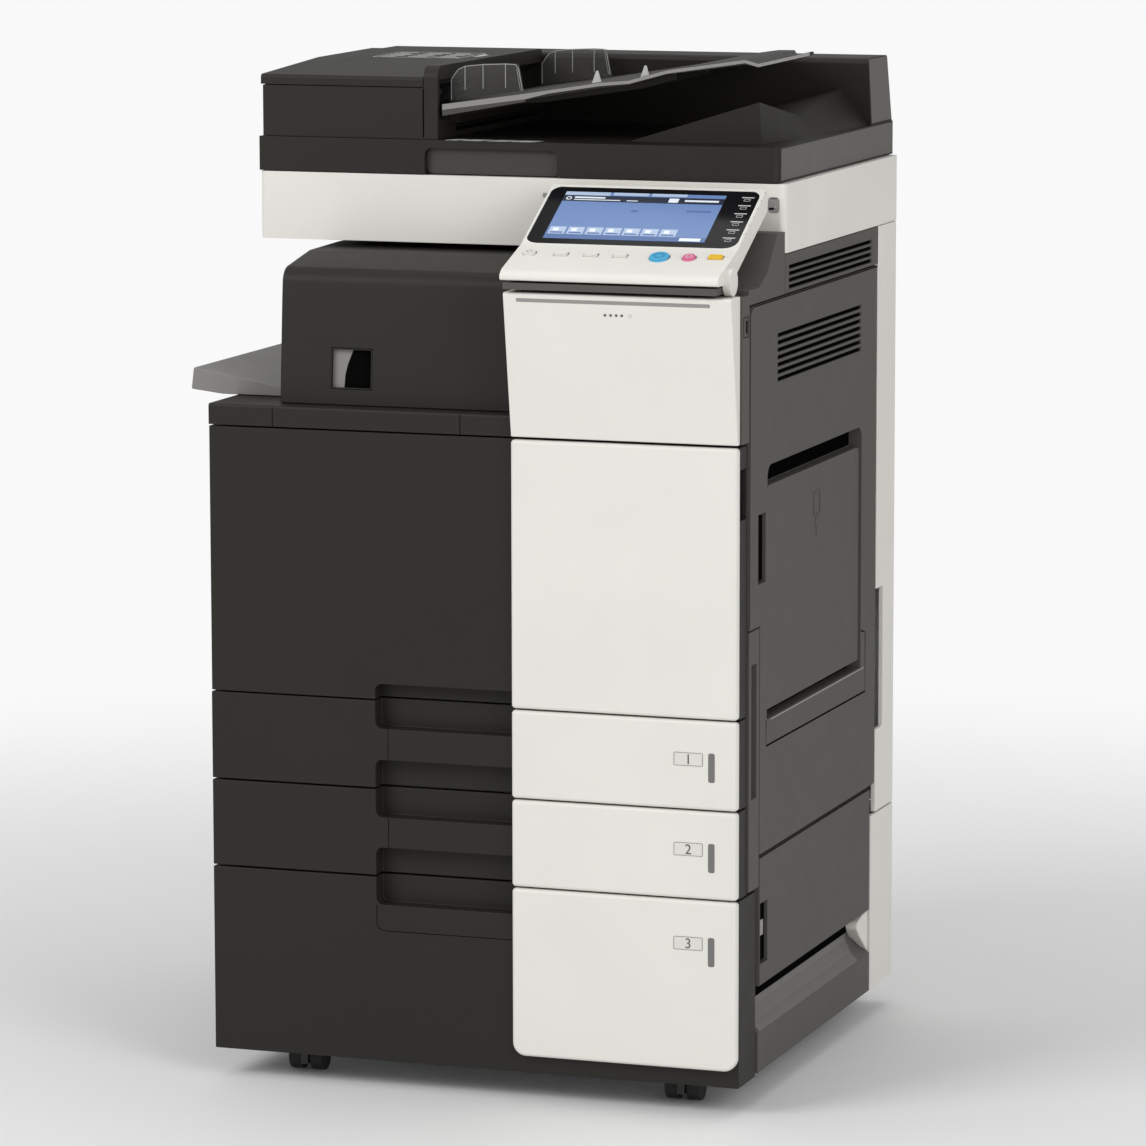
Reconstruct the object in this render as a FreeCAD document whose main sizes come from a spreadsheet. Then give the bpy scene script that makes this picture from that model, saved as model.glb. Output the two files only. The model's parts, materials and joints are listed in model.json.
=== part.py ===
import FreeCAD, Part
import math
import os
import Sketcher

# A floor-standing office photocopier on casters: paper cabinet, print engine, inner finisher,
# flatbed scanner and document feeder. Sizes are in millimetres.
# Sub-parts are laid out from the left front bottom corner of the body: x to the right,
# y to the back, z up from the floor. Each node is then moved so that the frame's origin is
# the middle of the whole copier's footprint, on the floor.

doc = FreeCAD.newDocument("photocopier")
sheet = doc.addObject("Spreadsheet::Sheet", "Sheet")


# ---------------------------------------------------------------- sizes and their expressions
class Size:
    """A number together with the spreadsheet expression that gives it."""

    def __init__(self, number, text):
        self.number = number
        self.text = text

    def __add__(self, other):
        other = as_size(other)
        return Size(self.number + other.number, f"({self.text} + {other.text})")

    def __sub__(self, other):
        other = as_size(other)
        return Size(self.number - other.number, f"({self.text} - {other.text})")

    def __mul__(self, other):
        other = as_size(other)
        return Size(self.number * other.number, f"({self.text} * {other.text})")

    def __truediv__(self, other):
        other = as_size(other)
        return Size(self.number / other.number, f"({self.text} / {other.text})")

    def __radd__(self, other):
        return as_size(other) + self

    def __rsub__(self, other):
        return as_size(other) - self

    def __rmul__(self, other):
        return as_size(other) * self

    def __neg__(self):
        return Size(-self.number, f"(0 - {self.text})")


def as_size(value):
    """The value itself if it is a Size, or a constant Size."""
    if isinstance(value, Size):
        return value
    return Size(float(value), f"({float(value)!r})")


def driving(alias, value, meaning):
    """Adds one driving dimension to the sheet and returns it as a Size."""
    row = driving.rows = getattr(driving, "rows", 0) + 1
    sheet.set(f"A{row}", alias)
    sheet.set(f"B{row}", str(value))
    sheet.set(f"C{row}", meaning)
    sheet.setAlias(f"B{row}", alias)
    return Size(float(value), f"Sheet.{alias}")


# the whole copier
body_width = driving("body_width", 615, "width of the body, scanner and drawers")
body_back = driving("body_back", 597, "depth of the body behind the front plane")
tray_overhang = driving("tray_overhang", 54, "output tray's reach past the left side")
panel_overhang = driving("panel_overhang", 42, "control panel's reach past the front plane")
feeder_back = driving("feeder_back", 608, "rearmost point of the feeder")
doc_tray_end = driving("doc_tray_end", 643, "right end of the document tray")
gap = driving("gap", 2, "visible gap between neighbouring covers")
cover = driving("cover", 5, "thickness of moulded covers")
steel = driving("steel", 4, "thickness that stands for a folded steel plate")
# heights above the floor
body_bottom = driving("body_bottom", 32, "underside of the cabinet")
cabinet_top = driving("cabinet_top", 240, "joint line between cabinet and engine")
drawer_line = driving("drawer_line", 338, "joint line between the two engine drawers")
door_line = driving("door_line", 437, "joint line between drawer and front door")
shelf_low = driving("shelf_low", 733, "underside of the shelf cover")
shelf_top = driving("shelf_top", 757, "top of the shelf cover")
slot_panel_top = driving("slot_panel_top", 896, "top of the leaning panel")
scanner_low = driving("scanner_low", 926, "underside of the scanner")
scanner_top = driving("scanner_top", 1001, "top of the scanner")
feeder_deck = driving("feeder_deck", 1040, "top of the feeder's base slab")
head_top = driving("head_top", 1097, "top of the feed head's casing")
# front pieces
front_thick = driving("front_thick", 26, "thickness of the dark front mouldings")
white_left = driving("white_left", 356, "left edge of the light front panels")
white_right = driving("white_right", 613, "right edge of the light front panels")
white_thick = driving("white_thick", 10, "thickness of the light front panels")
white_round = driving("white_round", 4, "rounding of the light panels' front edges")
pocket_left = driving("pocket_left", 194, "left end of the finger pockets")
pocket_height = driving("pocket_height", 31, "finger pocket's height above and below a joint")
pocket_deep = driving("pocket_deep", 20, "finger pocket's depth")
pocket_round = driving("pocket_round", 8, "rounding of the finger pocket's left corners")
# drawers
drawer_left = driving("drawer_left", 22, "left side of the paper trays")
drawer_right = driving("drawer_right", 566, "right side of the paper trays")
drawer_back = driving("drawer_back", 470, "back of the paper trays")
drawer_wall = driving("drawer_wall", 3, "wall of the paper trays")
cabinet_return = driving("cabinet_return", 60, "depth of the lowest drawer's side returns")
# right side
door_thick = driving("door_thick", 22, "thickness of the right doors")
door_back = driving("door_back", 516, "rear end of the upper right door")
door_top = driving("door_top", 880, "top of the upper right door")
door_low = driving("door_low", 278, "bottom of the upper right door")
low_door_back = driving("low_door_back", 498, "rear end of the lower right door")
low_door_low = driving("low_door_low", 132, "bottom of the lower right door")
post_top = driving("post_top", 528, "top of the right front post")
post_back = driving("post_back", 65, "rear side of the right front post")
pivot_in = driving("pivot_in", 7, "right doors' pivot, in from the right side")
pivot_fwd = driving("pivot_fwd", 8, "right doors' pivot, forward of their rear end")
# scanner
scanner_front = driving("scanner_front", 155, "front of the scanner")
scanner_back = driving("scanner_back", 598, "back of the scanner")
scanner_wall = driving("scanner_wall", 12, "walls of the scanner housing")
platen_width = driving("platen_width", 440, "width of the platen glass")
platen_depth = driving("platen_depth", 310, "depth of the platen glass")
# running parts
pin_radius = driving("pin_radius", 3, "radius of hinge pins")
running = driving("running", 0.05, "radial clearance of pins in their holes")
wheel_radius = driving("wheel_radius", 15, "radius of a caster wheel")
wheel_width = driving("wheel_width", 15, "width of one wheel of a pair")
caster_trail = driving("caster_trail", 14, "axle's offset behind the swivel")
foot_radius = driving("foot_radius", 20, "radius of a levelling foot")

middle_x = (doc_tray_end - tray_overhang) / 2
middle_y = (feeder_back - panel_overhang) / 2
right = body_width
doc.recompute()


# ---------------------------------------------------------------- building blocks
def bind(item, prop, size):
    """Ties a property to the sheet."""
    item.setExpression(prop, as_size(size).text)


def place(item, point):
    """Puts an object at a point, each coordinate tied to the sheet."""
    for letter, size in zip("xyz", point):
        bind(item, f"Placement.Base.{letter}", size)


def box(name, low, high):
    """A block between two corners."""
    item = doc.addObject("Part::Box", name)
    for axis, prop in enumerate(("Length", "Width", "Height")):
        bind(item, prop, as_size(high[axis]) - low[axis])
    place(item, low)
    return item


TURNS = {
    "x": FreeCAD.Rotation(FreeCAD.Vector(0, 1, 0), 90),
    "y": FreeCAD.Rotation(FreeCAD.Vector(1, 0, 0), -90),
    "z": FreeCAD.Rotation(),
}


def rod(name, axis, start, radius, length):
    """A cylinder from a start point along the positive x, y or z axis."""
    item = doc.addObject("Part::Cylinder", name)
    bind(item, "Radius", radius)
    bind(item, "Height", length)
    item.Placement = FreeCAD.Placement(FreeCAD.Vector(), TURNS[axis])
    place(item, start)
    return item


def fuse(name, *items):
    """Touching or overlapping pieces made one."""
    item = doc.addObject("Part::MultiFuse", name)
    item.Shapes = list(items)
    return item


def group(name, *items):
    """Separate solids that share one node."""
    item = doc.addObject("Part::Compound", name)
    item.Links = list(items)
    return item


def cut(name, base, *tools):
    """The base with one or more tools taken away."""
    item = doc.addObject("Part::Cut", name)
    item.Base = base
    item.Tool = tools[0] if len(tools) == 1 else fuse(name + "_tools", *tools)
    return item


PLANES = {"xy": ("XY_Plane", 1), "xz": ("XZ_Plane", -1), "yz": ("YZ_Plane", 1)}


def prism(name, plane, outline, low, high):
    """A padded sketch. An outline point is (across, up) or (across, up, corner radius)."""
    role, sense = PLANES[plane]
    body = doc.addObject("PartDesign::Body", name)
    origin_plane = [f for f in body.Origin.OriginFeatures if f.Role == role][0]
    sketch = body.newObject("Sketcher::SketchObject", name + "_sketch")
    sketch.AttachmentSupport = [(origin_plane, "")]
    sketch.MapMode = "FlatFace"
    bind(sketch, "AttachmentOffset.Base.z", as_size(low) * sense)
    points = [[as_size(v) for v in point[:2]] for point in outline]
    vectors = [FreeCAD.Vector(across.number, up.number, 0) for across, up in points]
    count = len(points)
    for i in range(count):
        sketch.addGeometry(Part.LineSegment(vectors[i], vectors[(i + 1) % count]), False)
    for i in range(count):
        sketch.addConstraint(Sketcher.Constraint("Coincident", i, 2, (i + 1) % count, 1))
    for i, point in enumerate(points):
        for kind, size in zip(("DistanceX", "DistanceY"), point):
            index = sketch.addConstraint(Sketcher.Constraint(kind, i, 1, size.number))
            bind(sketch, f"Constraints[{index}]", size)
    pad = body.newObject("PartDesign::Pad", name + "_pad")
    pad.Profile = sketch
    bind(pad, "Length", as_size(high) - low)
    pad.Reversed = sense < 0
    doc.recompute()
    for radius in {as_size(p[2]).number: p[2] for p in outline if len(p) > 2}.values():
        corners = [
            v for v, p in zip(vectors, outline)
            if len(p) > 2 and as_size(p[2]).number == as_size(radius).number
        ]
        round_corners(body, plane, corners, as_size(radius))
    return body


def round_corners(body, plane, corners, radius):
    """Rounds the edges of a body's tip that stand on the given outline corners."""
    base = body.Tip
    names = []
    for index, edge in enumerate(base.Shape.Edges, start=1):
        ends = [flat(vertex.Point, plane) for vertex in edge.Vertexes]
        if len(ends) == 2 and close(ends[0], ends[1]):
            if any(close(ends[0], corner) for corner in corners):
                names.append(f"Edge{index}")
    fillet = body.newObject("PartDesign::Fillet", f"{base.Name}_round")
    fillet.Base = (base, names)
    bind(fillet, "Radius", radius)
    body.Tip = fillet
    doc.recompute()


def flat(point, plane):
    """A 3-D point in the outline's own two coordinates."""
    return FreeCAD.Vector(*(getattr(point, letter) for letter in plane), 0)


def close(first, second):
    return (first - second).Length < 1e-4


def soften(name, base, radius, wanted):
    """Rounds those edges of a shape for which wanted(middle of the edge's box) is true."""
    doc.recompute()
    item = doc.addObject("Part::Fillet", name)
    item.Base = base
    item.Edges = [
        (index, radius.number, radius.number)
        for index, edge in enumerate(base.Shape.Edges, start=1)
        if wanted(edge.BoundBox)
    ]
    return item


nodes = []


def node(label, item):
    """Names a finished sub-part and moves it from the layout's corner to the frame's origin."""
    item.Label = label
    moved = dict(item.ExpressionEngine)
    for letter, middle in (("x", middle_x), ("y", middle_y)):
        path = f"Placement.Base.{letter}"
        before = Size(0, moved.get(path, moved.get("." + path, "0")))
        bind(item, path, before - middle)
    nodes.append(item)
    return item


# ---------------------------------------------------------------- frames
FRAME_LEFT = 8
FRAME_FRONT = 34
FRAME_BACK = 588
FRAME_RIGHT = 586
CABINET_FLOOR = 50
CABINET_SIDES_FRONT = 66
FUSER_PLATE_LEFT = 470
FUSER_PLATE_LOW = 770
FUSER_PLATE_HIGH = 830
BEARING_PLATES = (50, 566)
JOURNAL = 4
# label: place across and up, barrel radius
ROLLERS = {
    "photoconductor_drum": (455, 590, 15),
    "toner_bottle": (150, 560, 36),
    "fuser_heat_roller": (500, 800, 16),
    "fuser_pressure_roller": (533, 800, 16),
}
TOWER_LEFT = 80
SHELF_BACK = 583


def cabinet_frame():
    """Folded steel tray of the cabinet: floor, two sides, back and top."""
    front, low, far = CABINET_SIDES_FRONT, CABINET_FLOOR, (FRAME_RIGHT, FRAME_BACK, cabinet_top)
    floor = box("cabinet_floor", (FRAME_LEFT, FRAME_FRONT - 2, low), (FRAME_RIGHT, FRAME_BACK, low + 6))
    left = box("cabinet_left", (FRAME_LEFT, front, low), (FRAME_LEFT + steel, FRAME_BACK, cabinet_top))
    right_side = box("cabinet_right", (FRAME_RIGHT - steel, front, low), far)
    back = box("cabinet_back", (FRAME_LEFT, FRAME_BACK - steel, low), far)
    top = box("cabinet_roof", (FRAME_LEFT, front, cabinet_top - steel), far)
    lugs = [hinge_lug(f"low_lug_{i}", low_pivot(), height) for i, height in enumerate(LOW_LUGS)]
    holes = [pin_hole(f"low_lug_hole_{i}", low_pivot(), height) for i, height in enumerate(LOW_LUGS)]
    holes += [
        rod(f"stem_hole_{i}", "z", (x, y, low - 10), caster_stem + running, 30)
        for i, (x, y) in enumerate(CASTERS.values())
    ]
    return cut("cabinet_frame", fuse("cabinet_steel", floor, left, right_side, back, top, *lugs), *holes)


def main_frame():
    """Folded steel frame of the engine: sides, back, floors and roof, with the doors' lugs."""
    low = cabinet_top + 1
    top = shelf_low - 1
    tower_top = scanner_low - 1
    tower_front = scanner_front + 2

    def plate(name, z_low, z_high):
        return box(name, (FRAME_LEFT, FRAME_FRONT, z_low), (FRAME_RIGHT, FRAME_BACK, z_high))

    left = box("frame_left", (FRAME_LEFT, FRAME_FRONT, low), (FRAME_LEFT + steel, FRAME_BACK, top))
    right_side = prism("frame_right", "yz",
                       [(FRAME_FRONT, low), (FRAME_BACK, low), (FRAME_BACK, tower_top),
                        (tower_front, tower_top), (tower_front, door_top - 2), (FRAME_FRONT, door_top - 2)],
                       FRAME_RIGHT - steel, FRAME_RIGHT)
    back = prism("frame_back", "xz",
                 [(FRAME_LEFT, low), (FRAME_RIGHT, low), (FRAME_RIGHT, tower_top), (TOWER_LEFT, tower_top),
                  (TOWER_LEFT, top), (FRAME_LEFT, top)],
                 FRAME_BACK - steel, FRAME_BACK)
    divider = plate("frame_divider", drawer_line - 2, drawer_line + 2)
    floor = plate("frame_floor", door_line, door_line + steel)
    roof = plate("frame_roof", top - steel, top)
    lugs = [front_lug(f"front_lug_{i}", height) for i, height in enumerate(FRONT_LUGS)]
    plates = [
        box(f"bearing_plate_{i}", (FRAME_LEFT, y, door_line), (FRAME_RIGHT, y + steel, top))
        for i, y in enumerate(BEARING_PLATES)
    ]
    plates += [
        box(f"fuser_plate_{i}", (FUSER_PLATE_LEFT, y, FUSER_PLATE_LOW),
            (FRAME_RIGHT, y + steel, FUSER_PLATE_HIGH))
        for i, y in enumerate(BEARING_PLATES)
    ]
    holes = [pin_hole(f"front_lug_hole_{i}", FRONT_PIVOT, height) for i, height in enumerate(FRONT_LUGS)]
    near, far = BEARING_PLATES
    holes += [
        rod(f"bearing_{label}", "y", (x, near - 2, z), JOURNAL + running, far - near + 14)
        for label, (x, z, _) in ROLLERS.items()
    ]
    solid = fuse("frame_steel", left, right_side, back, divider, floor, roof, *plates, *lugs)
    brackets = [
        hinge_bracket(f"high_bracket_{i}", high_pivot(), height)
        for i, height in enumerate(HIGH_LUGS)
    ]
    return group("main_frame", cut("frame_plates", solid, *holes), *brackets)


# ---------------------------------------------------------------- door hinges
FRONT_PIVOT = (8, 19)
FRONT_LUGS = (470, 700)
HIGH_LUGS = (310, 850)
LOW_LUGS = (150, 225)
LUG_HALF = 6


def high_pivot():
    """Upper right door's upright axis."""
    return (right - pivot_in, door_back - pivot_fwd)


def low_pivot():
    """Lower right door's upright axis."""
    return (right - pivot_in, low_door_back - pivot_fwd)


def hinge_lug(name, pivot, height):
    """A steel tongue from the frame's right side out to a door's pivot."""
    tongue = box(name + "_tongue", (FRAME_RIGHT - steel, pivot[1] - LUG_HALF, height),
                 (pivot[0], pivot[1] + LUG_HALF, height + steel))
    return fuse(name, tongue, lug_eye(name, pivot, height))


def hinge_bracket(name, pivot, height):
    """A plate bolted to the outside of the frame's right side, with a hole at a door's pivot."""
    tongue = box(name + "_tongue", (FRAME_RIGHT, pivot[1] - LUG_HALF, height),
                 (pivot[0], pivot[1] + LUG_HALF, height + steel))
    return cut(name, fuse(name + "_plate", tongue, lug_eye(name, pivot, height)),
               pin_hole(name + "_hole", pivot, height))


def lug_eye(name, pivot, height):
    """Round end of a lug about its pivot."""
    return rod(name + "_eye", "z", (pivot[0], pivot[1], height), LUG_HALF, steel)


def front_lug(name, height):
    """A steel tongue from the frame's left side forward to the front door's pivot."""
    tongue = box(name + "_tongue", (FRAME_LEFT, FRONT_PIVOT[1] - LUG_HALF, height),
                 (30, FRAME_FRONT + 2, height + steel))
    return fuse(name, tongue, lug_eye(name, FRONT_PIVOT, height))


def pin_hole(name, pivot, height):
    return rod(name, "z", (pivot[0], pivot[1], height - 1), pin_radius + running, steel + 2)


def hinge_pin(name, pivot, height):
    """A pin through a lug, held by the door above and below it."""
    return rod(name, "z", (pivot[0], pivot[1], height - 8), pin_radius, steel + 16)


# ---------------------------------------------------------------- fixed covers
def left_cover():
    """Dark left side, stepped back at the bottom behind the lowest drawer's return."""
    low, high, back = body_bottom + 3, shelf_low - gap, body_back - 7
    step_y, step_z = cabinet_return + 4, cabinet_top + gap
    outline = [(step_y, low), (back, low), (back, high), (front_thick + 2, high), (front_thick + 2, step_z),
               (step_y, step_z)]
    return prism("left_cover", "yz", outline, 0, cover)


def rear_cover(name, front_y, low, high):
    """White back cover that wraps round both rear corners; deeper on the right side."""
    inner = body_back - cover
    outline = [(0, inner), (right - 6, inner), (right - 6, front_y), (right, front_y),
               (right, body_back, 8), (0, body_back, 3)]
    return prism(name, "xy", outline, low, high)


def rear_cover_upper():
    shell = rear_cover("rear_cover_upper_shell", door_back + 2, cabinet_top + 3, scanner_low - 1)
    grip = box("rear_grip", (right - 7, door_back + 1, 340), (right + 1, door_back + 31, 505))
    return cut("rear_cover_upper", shell, grip)


def rear_cover_lower():
    return rear_cover("rear_cover_lower", low_door_back + 3, 35, cabinet_top + 1)


def right_front_post():
    """Strip between the front mouldings and the upper right door, with a long latch slot."""
    post = box("post_block", (right - door_thick, front_thick + 2, cabinet_top + 3),
               (right, post_back, post_top))
    slot = box("post_slot", (right - 8, 36, 344), (right + 1, 56, 491))
    return cut("right_front_post", post, slot)


def ledge_cover():
    """Lower right sill: an upright skirt with a concave slope up to the door above it."""
    x = right
    outline = [(x - 26, 35), (x, 35), (x, 80), (x - 9, 90), (x - 15, 104), (x - 17, 124), (x - 26, 124)]
    return prism("ledge_cover", "xz", outline, cabinet_return + 4, low_door_back - 1)


def vent_slots(name, y_low, y_high, z_low, z_high, count):
    """Level grooves in the right side, evenly spaced."""
    pitch = (z_high - z_low) / count
    return [
        box(f"{name}_{i}", (right - 3, y_low, z_low + i * pitch),
            (right + 1, y_high, z_low + (i + 0.6) * pitch))
        for i in range(count)
    ]


def vent_cover():
    """Strip above the upper right door, with level vents."""
    block = box("vent_block", (right - 12, scanner_front, door_top + gap),
                (right, door_back + 1, scanner_low - 1))
    return cut("vent_cover", block, *vent_slots("upper_vent", 169, 492, 886, 915, 4))


def tower_cover():
    """Dark casing behind the leaning panel; its upper part reaches back under the control panel."""
    front = box("tower_front", (white_left, 0, shelf_low + gap), (right, front_thick, slot_panel_top - 3))
    bracket = prism("tower_bracket", "yz",
                    [(front_thick - 2, door_top + gap), (scanner_front - gap, door_top + gap),
                     (scanner_front - gap, 950), (126, 950), (88, 910), (61, 898), (front_thick - 2, 898)],
                    white_left, right)
    sill_left, sill_right, sill_low = white_left + 2, white_right - 15, 897.5
    back_tower = box("tower_hollow", (white_left + 4, 4, shelf_low),
                     (FRAME_RIGHT + 4, front_thick + 1, door_top))
    inner = box("bracket_hollow", (white_left + 4, front_thick - 3, door_top),
                (right - 8, scanner_front - 8, 893))
    strip = box("panel_sill", (sill_left, -(panel_overhang - 4), sill_low), (sill_right, 12, 905))
    rest = box("sill_web", (sill_left, 0, slot_panel_top - 4), (sill_right, front_thick, sill_low + 0.5))
    return cut("tower_cover", fuse("tower_shell", front, bracket, strip, rest), back_tower, inner)


def slot_panel():
    """Light front panel whose face leans outwards to the top."""
    low, high = shelf_low + gap, slot_panel_top - 2
    outline = [(-8, low, 2), (-33, high, 3), (-0.2, high), (-0.2, low)]
    return prism("slot_panel", "yz", outline, white_left, white_right)


def shelf_cover():
    """Top of the engine beside the tower, with two fine seams in its front edge."""
    low = shelf_low + 1
    outline = [(0, low), (SHELF_BACK, low), (SHELF_BACK, shelf_top), (0, shelf_top, 3)]
    slab = prism("shelf_slab", "yz", outline, 0, white_left - 2)
    seams = [
        box(f"shelf_seam_{i}", (x, -1, shelf_low), (x + 1.4, 1.2, shelf_top + 1))
        for i, x in enumerate((FINISHER_LEFT, 294))
    ]
    return cut("shelf_cover", slab, *seams)


FINISHER_LEFT = 75
FINISHER_TOP = 920


def finisher_cover():
    """Inner finisher's casing: a sloping front that rounds into a level top, hollow inside."""
    low = shelf_top + 0.5
    shell = prism("finisher_block", "yz",
                  [(25, low), (33, 873), (36, 904, 18), (115, FINISHER_TOP - 2, 40), (201, FINISHER_TOP),
                   (560, FINISHER_TOP), (560, low)],
                  FINISHER_LEFT, white_left - 2)
    hollow = box("finisher_hollow", (FINISHER_LEFT + 5, 42, low - 1),
                 (white_left - 8, 550, FINISHER_TOP - 24))
    window = box("finisher_window_hole", (134, 20, 775), (182, 50, 820))
    exit_slot = box("finisher_exit", (FINISHER_LEFT - 5, 90, 788), (FINISHER_LEFT + 15, 500, 812))
    return cut("finisher_cover", shell, hollow, window, exit_slot)


def output_tray():
    """Paper tray that slopes up to the left, with a raised guide at its right rear."""
    front, back, end, low = 80, 480, FINISHER_LEFT - 1, shelf_top + 0.6
    outline = [(-tray_overhang, 762, 2), (-16, low), (end, low), (end, 767), (52, 768.5), (-51, 786.5, 2)]
    slope = prism("tray_slope", "xz", outline, front, back)
    guide = prism("tray_guide", "xz", [(40, 765), (end, 765), (end, 786), (62, 784, 4), (46, 772)], 240, back)
    return fuse("output_tray", slope, guide)


def scanner_housing():
    """Flatbed scanner's case: seat for the platen glass, two rails for the carriage, eyes for the lid."""
    back = scanner_back
    shell = prism("scanner_block", "xy",
                  [(0, scanner_front, 8), (right, scanner_front, 8), (right, back, 8), (0, back, 8)],
                  scanner_low, scanner_top)
    w = scanner_wall
    room = box("scanner_room", (w, scanner_front + w, scanner_low + w),
               (right - w, back - w, scanner_top - 4))
    lip = 4
    opening = box("scanner_opening", (PLATEN_LEFT + lip, PLATEN_FRONT + lip, scanner_top - 6),
                  (PLATEN_LEFT + platen_width - lip, PLATEN_FRONT + platen_depth - lip, scanner_top + 1))
    seat = box("scanner_seat", (PLATEN_LEFT, PLATEN_FRONT, scanner_top - 3),
               (PLATEN_LEFT + platen_width, PLATEN_FRONT + platen_depth, scanner_top + 1))
    rails = [
        rod(f"scan_rail_{i}", "x", (w - 1, y, scanner_low + w + 2.8), 4, right - 2 * w + 2)
        for i, y in enumerate((230, 520))
    ]
    bores = [
        rod(f"lug_bore_{i}", "x", (x - 7, LID_PIVOT[0], LID_PIVOT[1]), pin_radius + running, LID_LUG + 14)
        for i, x in enumerate(LID_LUGS)
    ]
    lugs = [lid_lug(f"lid_lug_{i}", x) for i, x in enumerate(LID_LUGS)]
    return fuse("scanner_housing", cut("scanner_case", shell, room, opening, seat, *bores), *rails, *lugs)


PLATEN_LEFT = 96
PLATEN_FRONT = 215


def platen_glass():
    return box("platen_glass", (PLATEN_LEFT + 0.3, PLATEN_FRONT + 0.3, scanner_top - 3),
               (PLATEN_LEFT + platen_width - 0.3, PLATEN_FRONT + platen_depth - 0.3, scanner_top))


def scan_carriage():
    """Lamp and mirror carriage that travels under the glass."""
    body = box("carriage_body", (30, 190, 945), (84, 560, 972))
    trough = box("carriage_trough", (42, 205, 960), (72, 545, 973))
    return cut("scan_carriage", body, trough)


# ---------------------------------------------------------------- drawers and front door
def finger_pocket(name, low, high):
    """Recess for the fingers in a dark front moulding, between its two heights."""
    return prism(name, "xz",
                 [(pocket_left, low, pocket_round), (white_left - 2, low), (white_left - 2, high),
                  (pocket_left, high, pocket_round)],
                 -1, pocket_deep)


def white_panel(name, low, high, round_low=white_round):
    """Light panel with rounded corners and front edges, standing proud of the dark moulding."""
    slab = prism(name + "_slab", "xz",
                 [(white_left, low, round_low), (white_right, low, round_low),
                  (white_right, high, white_round), (white_left, high, white_round)],
                 -white_thick, -0.2)
    front = -white_thick.number
    return soften(name, slab, white_round, lambda b: b.YMin > front - 0.01 and b.YMax < front + 0.01)


def front_moulding(name, low, high, pockets, depth=front_thick):
    """Dark front moulding: a shell open at the back, with finger pockets cut into its edges."""
    block = box(name + "_block", (0, 0, low), (white_right, depth, high))
    back = pocket_deep + 3
    hollow = box(name + "_hollow", (cover, back, low + cover), (white_right - cover, depth + 1, high - cover))
    open_end = box(name + "_open_end", (cover, front_thick, low - 1),
                   (white_right - cover, depth + 1, high - cover))
    return cut(name, block, hollow, open_end, *pockets)


def paper_tray(name, low, high, front=front_thick):
    """Open-topped tray behind a drawer front."""
    w = drawer_wall
    front_wall = 14
    block = box(name + "_block", (drawer_left, front, low), (drawer_right, drawer_back, high))
    room = box(name + "_room", (drawer_left + w, front + front_wall, low + w),
               (drawer_right - w, drawer_back - w, high + 1))
    return cut(name, block, room)


def drawers():
    """Three drawers: label, joint line below, joint line above, front depth, tray heights."""
    half = gap / 2
    reach = pocket_height + half
    rows = [
        ("drawer_1", drawer_line, door_line, front_thick, 346, 412, True),
        ("drawer_2", cabinet_top, drawer_line, front_thick, 248, 314, True),
        ("drawer_3", body_bottom - half, cabinet_top, cabinet_return, 62, 214, False),
    ]
    for label, low, high, depth, tray_low, tray_high, pocket_below in rows:
        pockets = [finger_pocket(label + "_pocket_top", high - reach, high + 20)]
        if pocket_below:
            pockets.append(finger_pocket(label + "_pocket_low", low - 20, low + reach))
        node(label + "_front", front_moulding(label + "_front", low + half, high - half, pockets, depth))
        round_low = white_round if pocket_below else as_size(15)
        white_low = low + half if pocket_below else as_size(52)
        node(label + "_panel", white_panel(label + "_panel", white_low, high - half, round_low))
        front = pocket_deep + 3 if depth is cabinet_return else depth
        node(label + "_tray", paper_tray(label + "_tray", tray_low, tray_high, front))


def front_door():
    """Wide front door: dark moulding with hinge pins at its left end, and a light panel."""
    low = door_line + gap / 2
    high = shelf_low - gap / 2
    x, y = FRONT_PIVOT
    block = prism("door_block", "xy",
                  [(0, 0, 2), (white_right, 0), (white_right, front_thick), (0, front_thick, 6)], low, high)
    hollow_low = box("door_hollow_low", (cover, pocket_deep + 3, low + cover),
                     (white_right - cover, front_thick + 1, low + 24))
    hollow_high = box("door_hollow_high", (cover, cover, low + 24),
                      (white_right - cover, front_thick + 1, high - cover))
    pocket = finger_pocket("door_pocket", low - 20, door_line + 18)
    grip = box("door_grip", (right - 14, -1, 653), (right + 1, 21, 708))
    notches = [
        box(f"door_notch_{i}", (-1, 7, height - 3), (24, front_thick + 1, height + steel + 3))
        for i, height in enumerate(FRONT_LUGS)
    ]
    pins = [hinge_pin(f"front_pin_{i}", FRONT_PIVOT, height) for i, height in enumerate(FRONT_LUGS)]
    sockets = [
        box(f"front_socket_{i}_{part}", (2, 2, z), (x + 6, y + 5, z + 9))
        for i, height in enumerate(FRONT_LUGS)
        for part, z in enumerate((height - 15, height + steel + 6))
    ]
    shell = cut("door_shell", block, hollow_low, hollow_high, pocket, grip, *notches)
    node("front_door", fuse("front_door", shell, *sockets, *pins))
    node("front_door_panel", white_panel("front_door_panel", low, high))


# ---------------------------------------------------------------- right doors
def hinged_door(name, outline, pivot, lugs, hollows, extra):
    """Door slab with relief hollows inside, notches for the frame's lugs, and its own pins."""
    slab = prism(name + "_slab", "yz", outline, right - door_thick, right)
    rear = (pivot[1] + pivot_fwd).number
    block = soften(name + "_block", slab, white_round,
                   lambda b: b.YMin > rear - 0.01 and b.XMin > right.number - 0.01)
    inner = [
        box(f"{name}_hollow_{i}", (right - door_thick - 1, y_low, z_low), (right - 5, y_high, z_high))
        for i, (y_low, y_high, z_low, z_high) in enumerate(hollows)
    ]
    notches = [
        box(f"{name}_notch_{i}", (right - door_thick - 1, pivot[1] - 16, height - 4),
            (right - 0.8, pivot[1] + 16, height + steel + 4))
        for i, height in enumerate(lugs)
    ]
    pins = [hinge_pin(f"{name}_pin_{i}", pivot, height) for i, height in enumerate(lugs)]
    return fuse(name, cut(name + "_shell", block, *inner, *notches, *extra), *pins)


BYPASS_PIVOT = (606, 438)
BYPASS_PIN = 2.5
LEVER_PIN = 2
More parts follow.
